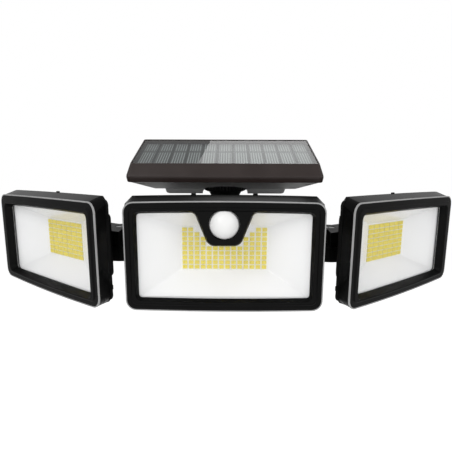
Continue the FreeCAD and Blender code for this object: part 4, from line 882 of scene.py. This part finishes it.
def sensor_tongue(name):
    """T-shaped plate that hangs into the middle window, with sloped edges and the dome's round seat."""
    top = CENTRE.win_z + CENTRE.win_h / 2 + CENTRE.bow[0]
    bar_top = top + 2 * TONGUE_SLOPE
    half_bar = TONGUE_TOP + TONGUE_BAR
    bpy.ops.object.select_all(action="DESELECT")
    bpy.ops.mesh.primitive_plane_add(size=1.0, rotation=(math.pi / 2, 0.0, 0.0),
                                     location=(0.0, TONGUE_BACK, (top + bar_top) / 2))
    piece = named(bpy.context.active_object, name)
    bpy.ops.object.transform_apply(location=True, rotation=True)
    bpy.ops.object.mode_set(mode="EDIT")
    bpy.ops.mesh.select_all(action="SELECT")
    bpy.ops.transform.resize(value=(2 * half_bar, 1.0, bar_top - top),
                             center_override=(0.0, TONGUE_BACK, (top + bar_top) / 2))
    for x in (-TONGUE_TOP, TONGUE_TOP):
        bpy.ops.mesh.select_all(action="SELECT")
        bpy.ops.mesh.bisect(plane_co=(x, 0.0, 0.0), plane_no=(1.0, 0.0, 0.0))
    bpy.ops.mesh.select_mode(type="EDGE")
    bpy.ops.mesh.select_all(action="DESELECT")
    bm = bmesh.from_edit_mesh(piece.data)
    for edge in bm.edges:
        edge.select = all(abs(v.co.x) < TONGUE_TOP + 0.01 and v.co.z < top + 0.01 for v in edge.verts)
    bmesh.update_edit_mesh(piece.data)
    bpy.ops.mesh.extrude_edges_move(TRANSFORM_OT_translate={"value": (0.0, 0.0, TONGUE_FOOT_Z - top)})
    bpy.ops.transform.resize(value=(TONGUE_FOOT / TONGUE_TOP, 1.0, 1.0))
    bpy.ops.mesh.select_mode(type="FACE")
    bpy.ops.mesh.select_all(action="SELECT")
    bpy.ops.mesh.dissolve_faces()
    for low, high, radius in ((TONGUE_FOOT_Z - 0.1, TONGUE_FOOT_Z + 0.1, TONGUE_FOOT_R),
                              (top - 0.1, top + 0.1, TONGUE_ROOT_R)):
        bpy.ops.mesh.select_mode(type="VERT")
        bpy.ops.mesh.select_all(action="DESELECT")
        bm = bmesh.from_edit_mesh(piece.data)
        for vert in bm.verts:
            vert.select = low < vert.co.z < high and abs(vert.co.x) < half_bar - 1.0
        bmesh.update_edit_mesh(piece.data)
        bpy.ops.mesh.bevel(offset=radius, segments=8, affect="VERTICES", profile=ROUND_PROFILE)
    bpy.ops.mesh.select_mode(type="FACE")
    bpy.ops.mesh.select_all(action="SELECT")
    bpy.ops.mesh.extrude_region_move(TRANSFORM_OT_translate={"value": (0.0, 0.01, 0.0)})
    bpy.ops.mesh.select_all(action="DESELECT")
    bm = bmesh.from_edit_mesh(piece.data)
    bm.faces.ensure_lookup_table()
    for face in bm.faces:
        face.select = len(face.verts) > 8 and face.calc_center_median().y < TONGUE_BACK + 0.005
    bmesh.update_edit_mesh(piece.data)
    bpy.ops.mesh.inset(thickness=TONGUE_SLOPE, depth=0.0)
    bpy.ops.transform.translate(value=(0.0, -TONGUE_BACK - RING_PROUD, 0.0))
    bpy.ops.mesh.select_all(action="SELECT")
    bpy.ops.mesh.normals_make_consistent(inside=False)
    bpy.ops.object.mode_set(mode="OBJECT")
    cut(piece, rod("seat", PIR_R + PIR_ROOM, (0.0, -3.0, PIR_Z), (0.0, 6.0, PIR_Z), segments=96))
    return soften(piece, 0.25, angle=40.0)


def sensor_dome(name):
    """Milky dome with a short straight skirt, turned on a lathe and laid over towards the front."""
    ball = (PIR_R ** 2 + PIR_HEIGHT ** 2) / (2 * PIR_HEIGHT)
    skirt_r = TUBE_R - 0.9
    skirt_top = -(TONGUE_BACK + 0.25)
    profile = [(skirt_r, -(TONGUE_BACK + 1.7)), (skirt_r, skirt_top), (PIR_R, skirt_top), (PIR_R, -PIR_SINK)]
    rings = 14
    edge = math.asin(PIR_R / ball)
    for k in range(1, rings + 1):
        a = edge * (1.0 - k / rings)
        profile.append((ball * math.sin(a), -PIR_SINK + PIR_HEIGHT - ball * (1.0 - math.cos(a))))
    piece = turned(name, profile, segments=72)
    piece.data.transform(Matrix.Translation((0.0, 0.0, PIR_Z)) @ Matrix.Rotation(math.pi / 2, 4, "X"))
    return piece


# Solar panel

def panel_rim(name):
    """Panel frame: thin rim round the glass, long bevel, upright lip, seat for the glass."""
    mid = GLASS_L / 2
    piece = loft(name, [
        outline(GLASS_W + 0.2, GLASS_L + 0.2, BED, 0.8, z=mid),
        outline(GLASS_W + 0.2, GLASS_L + 0.2, -RIM_PROUD, 0.8, z=mid),
        outline(GLASS_W + 2.0, GLASS_L + 2.0, -RIM_PROUD, 1.6, z=mid),
        *[outline(FRAME_W - less, FRAME_H - less, y, corner, z=FRAME_MID) for less, y, corner in RIM_STEPS],
        outline(OPENING[0], OPENING[1], FRAME_BACK, 2.0, z=mid),
        outline(OPENING[0], OPENING[1], BED, 2.0, z=mid)], ring=True)
    return soften(piece, 0.25, angle=40.0)


def glass_pane(name):
    """Flat glass over the cells, with its edge broken."""
    mid = GLASS_L / 2
    piece = loft(name, [outline(GLASS_W - 0.1, GLASS_L - 0.1, HAIR, 0.7, z=mid),
                        outline(GLASS_W - 0.1, GLASS_L - 0.1, GLASS_T - HAIR, 0.7, z=mid)])
    return soften(piece, 0.2, angle=60.0)


def cell_strips(name):
    """Eleven thin strips of silicon side by side."""
    width = (GLASS_W - 2 * CELL_BORDER - (CELLS - 1) * CELL_GAP) / CELLS
    first = block("strip", 0.0, width, GLASS_T + HAIR, GLASS_T + CELL_T - HAIR, CELL_BORDER,
                  GLASS_L - CELL_BORDER, width=0.05, segments=2)
    return copied(first, name, [(-GLASS_W / 2 + CELL_BORDER + k * (width + CELL_GAP), 0.0, 0.0)
                                for k in range(CELLS)])


def hollow_back(name, ball):
    """Panel back: a shallow slope with a raised box, a round pocket for the ball joint and recesses for sunk
    screws.
    """
    piece = loft(name, [
        outline(FRAME_W - 1.8, FRAME_H - 1.8, FRAME_BACK + 0.05, 3.0, z=FRAME_MID),
        *[outline(w, h, y, corner, z=z) for w, h, y, corner, z in BACK_STEPS]])
    bpy.ops.object.select_all(action="DESELECT")
    bpy.ops.mesh.primitive_uv_sphere_add(segments=64, ring_count=32, radius=POCKET_R, location=ball)
    pocket = bpy.context.active_object
    bpy.ops.object.transform_apply(location=True)
    cut(piece, pocket)
    for x, z in PANEL_SCREWS:
        for side in (-1, 1):
            cut(piece, rod("recess", RECESS_R, (side * x, PANEL_SCREW_SEAT, z), (side * x, 40.0, z),
                           segments=32))
    return soften(piece, 0.6, angle=20.0)


# Arms, rear body, neck and ball joint

def brace(s, low, high):
    """Four-sided plate that braces the barrel: a block with its slanted sides cut off."""
    x0, x1 = sorted((s * BRACE[0][0], s * BRACE[1][0]))
    piece = block("brace", x0, x1, BRACE[0][1], BRACE[3][1], low, high, width=0.0)
    only(piece)
    bpy.ops.object.mode_set(mode="EDIT")
    for (ax, ay), (bx, by) in ((BRACE[1], BRACE[2]), (BRACE[2], BRACE[3]), (BRACE[3], BRACE[0])):
        bpy.ops.mesh.select_all(action="SELECT")
        bpy.ops.mesh.bisect(plane_co=(s * ax, ay, 0.0), plane_no=(s * (by - ay), ax - bx, 0.0),
                            use_fill=True, clear_outer=True)
    bpy.ops.object.mode_set(mode="OBJECT")
    return piece


def swing_arm(name, s, base_z):
    """Half barrel with its front cut flat, a bar, a web and the round tongue between the head's lugs."""
    low, high = ARM_LOW - base_z, ARM_TOP - base_z
    cx = s * SWING_X
    piece = rod(name, SWING_R, (cx, SWING_Y, low), (cx, SWING_Y, high), segments=96)
    cut(piece, block("front", cx - 20, cx + 20, SWING_Y - 30, SWING_Y - SWING_FLAT, low - 1, high + 1,
                     width=0.0))
    x0, x1 = sorted((-s * ARM_TONGUE, cx))
    t = ARM_TONGUE
    bar_front, bar_back = SWING_Y + BAR_Y[0], SWING_Y + BAR_Y[1]
    fused(piece, block("bar", x0, x1, bar_front, bar_back, low, high - 0.05, width=0.0),
          block("web", -t, t, 0.0, bar_back - 0.05, -TILT_R, TILT_R, width=0.0),
          rod("knuckle", TILT_R, (-t, 0.0, 0.0), (t, 0.0, 0.0)), brace(s, -base_z, high - 0.1))
    end = s * t
    cut(piece, rod("tilt_hole", BOLT_R, (-20.0, 0.0, 0.0), (20.0, 0.0, 0.0)),
        rod("swing_hole", SWING_HOLE_R, (cx, SWING_Y, -30.0), (cx, SWING_Y, 30.0)),
        rod("head_seat", SWING_HEAD_R, (cx, SWING_Y, high - SWING_HEAD_DEPTH), (cx, SWING_Y, high + 2)),
        rod("lug_room", TILT_R + 0.5, (end, 0.0, 0.0), (s * (t + LUG_ROOM), 0.0, 0.0)))
    return soften(piece, 0.5, angle=35.0)


def box_body(name, swing_points):
    """Rear box with the middle head's fork, a lug for each arm and the neck's round seat."""
    y0, y1 = BODY_Y
    shell = block(name, -BODY_X, BODY_X, y0, y1, -BODY_Z, BODY_Z, width=BODY_R, segments=6, axis="y")
    room_x, room_z = BODY_X - BODY_WALL, BODY_Z - BODY_WALL
    cut(shell, block("room", -room_x, room_x, y0 + BODY_WALL, y1 + 1.0, -room_z, room_z, width=0.0))
    fused(shell, rod("shelf", NECK_FLANGE_R, (0.0, NECK_Y, SHELF_LOW), (0.0, NECK_Y, BODY_Z - 0.01),
                     segments=64))
    pieces = [soften(shell, 0.5, angle=40.0)]
    pivot_y, pivot_z = PIVOT
    for x0, x1 in (CHEEKS, (-CHEEKS[1], -CHEEKS[0])):
        cheek = block("cheek", x0, x1, pivot_y, y0 + 1.0, pivot_z + CHEEK_LOW, pivot_z + CHEEK_TOP, width=0.0)
        fused(cheek, rod("cheek_end", TILT_R, (x0, pivot_y, pivot_z), (x1, pivot_y, pivot_z)))
        cut(cheek, rod("cheek_hole", BOLT_R - 0.1, (x0 - 1, pivot_y, pivot_z), (x1 + 1, pivot_y, pivot_z)))
        pieces.append(soften(cheek, 0.4, angle=40.0))
    for side, (px, py) in zip((-1, 1), swing_points):
        lug = rod("arm_lug", LUG_R, (px, py, LUG_LOW), (px, py, LUG_HIGH), segments=64)
        x0, x1 = sorted((side * (BODY_X - 1.0), px))
        fused(lug, block("bridge", x0, x1, py + LUG_BRIDGE[0], py + LUG_BRIDGE[1], LUG_LOW, LUG_HIGH - HAIR,
                         width=0.0))
        cut(lug, rod("pin", SWING_HOLE_R - 0.05, (px, py, -30.0), (px, py, 30.0)),
            rod("nut_room", NUT_R, (px, py, LUG_LOW - 1), (px, py, LUG_LOW + NUT_DEPTH)))
        pieces.append(soften(lug, 0.5, angle=40.0))
    cut(pieces[0], rod("button_hole", BUTTON_HOLE_R, (*BUTTON_AT, -BODY_Z - 1), (*BUTTON_AT, -BODY_Z + 4)))
    return joined(name, pieces)


def four_corners(x, z):
    """The four points of a pattern that is even on both axes."""
    return [(side_x * x, side_z * z) for side_x in (-1, 1) for side_z in (-1, 1)]


def lid(name):
    """Lid of the rear box, with four sunk screw seats."""
    y0 = BODY_Y[1] + HAIR
    piece = block(name, -BODY_X, BODY_X, y0, y0 + LID_T, -BODY_Z, BODY_Z, width=BODY_R, segments=6, axis="y")
    for x, z in four_corners(*LID_SCREWS):
        cut(piece, rod("seat", RECESS_R, (x, y0 + LID_SEAT, z), (x, 0.0, z), segments=32))
    return soften(piece, 0.5, angle=40.0)


def wall_flange(name):
    """Plate against the wall with a boss, two ribs and four screw holes."""
    piece = block(name, -PLATE[0], PLATE[0], -PLATE_T, 0.0, -PLATE[1], PLATE[1], width=PLATE_R, segments=8,
                  axis="y")
    fused(piece, block("boss", -BOSS[0], BOSS[0], BOSS_END, -2.0, -BOSS[1], BOSS[1], width=4.0, segments=6,
                       axis="y"))
    for x in (-RIB_X, RIB_X):
        fused(piece, block("rib", x - RIB[0], x + RIB[0], -RIB[1], -1.0, -RIB[2], RIB[2], width=0.0))
    for x, z in four_corners(*WALL_HOLES):
        cut(piece, rod("hole", WALL_HOLE_R, (x, -9.0, z), (x, 1.0, z), segments=32))
    return soften(piece, 0.5, angle=40.0)


def neck_post(name):
    """Post that widens into the socket of the ball joint."""
    foot = BODY_Z + HAIR
    return soften(turned(name, [
        (WIRE_R, foot), (NECK_FLANGE_R, foot), (NECK_FLANGE_R, BODY_Z + 2.4), (NECK_R + 1.0, BODY_Z + 3.4),
        (NECK_R, BODY_Z + 8.0), (NECK_R, RING_FOOT - 5.4), (SOCKET_R, RING_FOOT - 0.3), (SOCKET_R, NECK_TOP),
        (THROAT_R, NECK_TOP), (THROAT_R, THROAT_FOOT), (WIRE_R, WIRE_TOP), (WIRE_R, foot)],
        at=(0.0, NECK_Y), segments=96), 0.3, angle=25.0)


def knurled_ring(name):
    """Clamp ring: fine ridges round the rim and a cone above with a lip round its opening."""
    per_ridge = 4
    piece = turned(name, [
        (RING_BORE_R, RING_FOOT), (RING_FOOT_R, RING_FOOT), (RING_R, RING_FOOT + 1.2),
        (RING_R, RING_FOOT + 4.0), (RING_TOP_R, RING_TOP), (RING_OPEN_R, RING_TOP), (RING_OPEN_R, RING_LIP),
        (RING_BORE_R, RING_LIP), (RING_BORE_R, RING_FOOT)],
        at=(0.0, NECK_Y), segments=RING_RIDGES * per_ridge)
    bpy.ops.object.mode_set(mode="EDIT")
    bpy.ops.mesh.select_mode(type="VERT")
    bpy.ops.mesh.select_all(action="DESELECT")
    bm = bmesh.from_edit_mesh(piece.data)
    for vert in bm.verts:
        dx, dy = vert.co.x, vert.co.y - NECK_Y
        turn = math.atan2(dx, dy) / (2 * math.pi) * RING_RIDGES
        vert.select = math.hypot(dx, dy) > RING_R - 1.3 and abs(turn - round(turn)) < 0.2
    bmesh.update_edit_mesh(piece.data)
    bpy.ops.transform.resize(value=(GROOVE_SHARE, GROOVE_SHARE, 1.0), center_override=(0.0, NECK_Y, 0.0))
    bpy.ops.object.mode_set(mode="OBJECT")
    return piece


def ball_and_stem(name):
    """Turned steel ball that runs into a stem."""
    profile = [(0.0, -BALL_R)]
    rings = 20
    neck = math.asin(STEM_R / BALL_R)
    for k in range(1, rings + 1):
        a = math.pi - (math.pi - neck) * k / rings
        profile.append((BALL_R * math.sin(a), BALL_R * math.cos(a)))
    flange_r, flange_foot, flange_top = STEM_FLANGE
    profile += [(STEM_R, flange_foot - 0.05), (flange_r, flange_foot), (flange_r, flange_top),
                (0.0, flange_top + 0.05)]
    return turned(name, profile, segments=64)


for word, head, matrix, body, side in HEADS:
    led_x = -side * head.led_x
    frame_piece = front_frame(head, word + "_front_frame")
    if word == "centre":
        frame_piece = joined(word + "_front_frame", [frame_piece, sensor_tongue("tongue")])
    settle(frame_piece, matrix, BLACK, body, word + "_bezel")
    # the seal's grey is a painted highlight of the rim's front edge
    settle(seal_ring(head, word + "_seal_ring"), matrix, SEAL_PAINTED_HIGHLIGHT, body, word + "_seal")
    settle(tray(head, word + "_tray"), matrix, GLOSS, body, word + "_housing")
    settle(window_pane(head, word + "_window"), matrix, WINDOW, body, word + "_lens")
    trough = light_tray(head, word + "_light_tray", led_x)
    if word == "centre":
        cut(trough, rod("tube_room", TUBE_R + 0.3, (0.0, 4.0, PIR_Z), (0.0, TUBE_END, PIR_Z), segments=96))
    settle(trough, matrix, REFLECTOR, body, word + "_reflector")
    settle(light_board(head, word + "_light_board", led_x), matrix, BOARD, body, word + "_led_board")
    settle(copied(emitter(head), word + "_emitters", led_places(head, led_x)), matrix, None, body,
           word + "_leds")
    settle(back_cover(head, word + "_back_cover", side), matrix, BLACK, body, word + "_rear_cover")
    screws = copied(pan_head("cover_screw", *COVER_SCREW), word + "_pan_heads",
                    [(x, TRAY + COVER_T + HAIR, z) for x, z in screw_points(head)])
    settle(screws, matrix, STEEL, body, word + "_cover_screws")
settle(sensor_dome("sensor_dome"), CENTRE_MATRIX, DOME, "centre_head", "pir_dome", smooth=50.0)

ball_point = PANEL_MATRIX.inverted() @ Vector((0.0, NECK_Y, BALL_Z))
settle(panel_rim("panel_rim"), PANEL_MATRIX, PANEL_BLACK, "panel", "panel_frame")
settle(glass_pane("glass_pane"), PANEL_MATRIX, GLASS, "panel", "solar_glass")
settle(cell_strips("cell_strips"), PANEL_MATRIX, SILICON, "panel", "solar_cells")
# the panel back's grey is painted light: the plastic is black, lit from below
settle(hollow_back("hollow_back", ball_point), PANEL_MATRIX, BACK_PAINTED_LIGHT_GREY, "panel", "panel_back")
stem_matrix = Matrix.Translation((0.0, NECK_Y, BALL_Z)) @ PANEL_TILT
settle(ball_and_stem("ball_and_stem"), stem_matrix, STEEL, "panel", "ball_stem")

swings = []
for side, word in ((-1, "left"), (1, "right")):
    base = side_matrix(side) @ Vector((0.0, SIDE.tilt_y, SIDE.tilt_z))
    arm_matrix = Matrix.Translation(base) @ Matrix.Rotation(math.radians(SIDE_YAW * side), 4, "Z")
    settle(swing_arm(word + "_swing_arm", -side, base.z), arm_matrix, BLACK, word + "_swing_arm",
           word + "_arm")
    swing = arm_matrix @ Vector((-side * SWING_X, SWING_Y, 0.0))
    swings.append((swing.x, swing.y))
HERE = Matrix.Identity(4)
settle(box_body("box_body", swings), HERE, BLACK, "rear", "rear_body")
settle(lid("lid"), HERE, BLACK, "rear", "rear_lid")
settle(wall_flange("wall_flange"), HERE, BLACK, "rear", "wall_plate")
settle(neck_post("neck_post"), HERE, BLACK, "rear", "neck")
settle(knurled_ring("knurled_ring"), HERE, BLACK, "clamp_ring", "lock_ring")


# Studio and camera

# The camera is set to give the photo's view. Its turns are in degrees.
CAMERA_AT = Vector((3.074, -387.67, 55.21)) * MM
CAMERA_PAN = 0.411
CAMERA_PITCH = -7.812
CAMERA_ROLL = -0.208
SENSOR_W = 36.0
FOCAL_LENGTH = 31.147
SKY_LIGHT = 0.55          # white light that falls on the object from all round
FLOOR_GLOW = 0.45         # lifts the floor to white for the camera only

TURN = (Matrix.Rotation(math.radians(CAMERA_PAN), 3, "Z")
        @ Matrix.Rotation(math.radians(CAMERA_PITCH), 3, "X")
        @ Matrix.Rotation(math.radians(CAMERA_ROLL), 3, "Y"))
right, forward, up = TURN.col[0], TURN.col[1], TURN.col[2]
camera_data = bpy.data.cameras.new("photo_camera")
camera_data.sensor_fit = "HORIZONTAL"
camera_data.sensor_width = SENSOR_W
camera_data.lens = FOCAL_LENGTH
camera = bpy.data.objects.new("photo_camera", camera_data)
bpy.context.scene.collection.objects.link(camera)
camera.matrix_world = Matrix.Translation(CAMERA_AT) @ Matrix((right, up, -forward)).transposed().to_4x4()
bpy.context.scene.camera = camera


def lamp(name, matrix, size, watts):
    """Square soft lamp that shines along its own -Z."""
    data = bpy.data.lights.new(name, "AREA")
    data.shape = "RECTANGLE"
    data.size, data.size_y = size
    data.energy = watts
    box = bpy.data.objects.new(name, data)
    bpy.context.scene.collection.objects.link(box)
    box.matrix_world = matrix
    return box


def softbox(name, at, toward, size, watts):
    """Soft lamp turned toward a point."""
    aim = (Vector(toward) - Vector(at)).to_track_quat("-Z", "Y")
    return lamp(name, Matrix.Translation(at) @ aim.to_matrix().to_4x4(), size, watts)


# A key lamp, a weaker one from the other side, and a low one that reaches the panel's underside
softbox("key_softbox", at=(-0.9, -1.3, 1.1), toward=(0.0, -0.1, 0.0), size=(1.0, 1.0), watts=14.0)
softbox("fill_softbox", at=(1.1, -1.2, 0.7), toward=(0.0, -0.1, 0.0), size=(1.0, 1.0), watts=8.0)
softbox("low_softbox", at=(0.0, -1.3, 0.06), toward=(0.0, -0.1, 0.03), size=(1.2, 0.12), watts=1.8)

# A lamp behind and above the panel, where its glass mirrors it to the camera: its slanted edge parts the
# light half of the glass from the dark half.
MIRRORED_AT = Vector((0.1169, 0.5752, 0.6968))
SIGHT = Vector((-0.01035, 0.73962, 0.67294)).normalized()
LEAN = math.radians(30.2)
level = SIGHT.cross(Vector((0.0, 0.0, 1.0))).normalized()
steep = level.cross(SIGHT)
edge_up = steep * math.cos(LEAN) - level * math.sin(LEAN)
edge_across = -(level * math.cos(LEAN) + steep * math.sin(LEAN))
turn = Matrix((edge_across, edge_up, SIGHT)).transposed().to_4x4()
lamp("mirrored_softbox", Matrix.Translation(MIRRORED_AT) @ turn, size=(0.355, 0.36), watts=0.55)


def eye_only(owner):
    """1 for rays from the camera, 0 for the light that falls on the object."""
    return owner.node_tree.nodes.new("ShaderNodeLightPath").outputs["Is Camera Ray"]


world = bpy.data.worlds.new("studio")
bpy.context.scene.world = world
world.use_nodes = True
world.node_tree.nodes.clear()
dim = add_node(world, "ShaderNodeBackground", {"Color": linear("#ffffff"), "Strength": SKY_LIGHT})
white = add_node(world, "ShaderNodeBackground", {"Color": linear("#ffffff"), "Strength": 1.0})
mix = add_node(world, "ShaderNodeMixShader", {0: eye_only(world), 1: dim.outputs[0], 2: white.outputs[0]})
add_node(world, "ShaderNodeOutputWorld", {"Surface": mix.outputs[0]})

bpy.ops.object.select_all(action="DESELECT")
bpy.ops.mesh.primitive_plane_add(size=6.0, location=(0.0, -0.1, -0.45))
floor = bpy.context.active_object
floor.name = "studio_floor"
bpy.ops.object.transform_apply(location=True)
floor_paint = new_material("white_studio_paint")
place = add_node(floor_paint, "ShaderNodeTexCoord").outputs["Object"]
mottle = add_node(floor_paint, "ShaderNodeTexNoise", {"Vector": place, "Scale": 4.0})
paint = ramp(floor_paint, mottle.outputs["Fac"], ((0.0, linear("#f6f6f6")), (1.0, linear("#fafafa"))))
flat_paint = add_node(floor_paint, "ShaderNodeBsdfPrincipled", {"Base Color": paint.outputs["Color"],
                                                                "Roughness": 0.9})
lift = add_node(floor_paint, "ShaderNodeMath", {0: eye_only(floor_paint), 1: FLOOR_GLOW},
                operation="MULTIPLY")
glow = add_node(floor_paint, "ShaderNodeEmission", {"Color": linear("#ffffff"), "Strength": lift.outputs[0]})
finish_material(floor_paint, add_node(floor_paint, "ShaderNodeAddShader",
                                      {0: flat_paint.outputs[0], 1: glow.outputs[0]}))
floor.data.materials.append(floor_paint)

bpy.context.scene.view_settings.view_transform = "Standard"
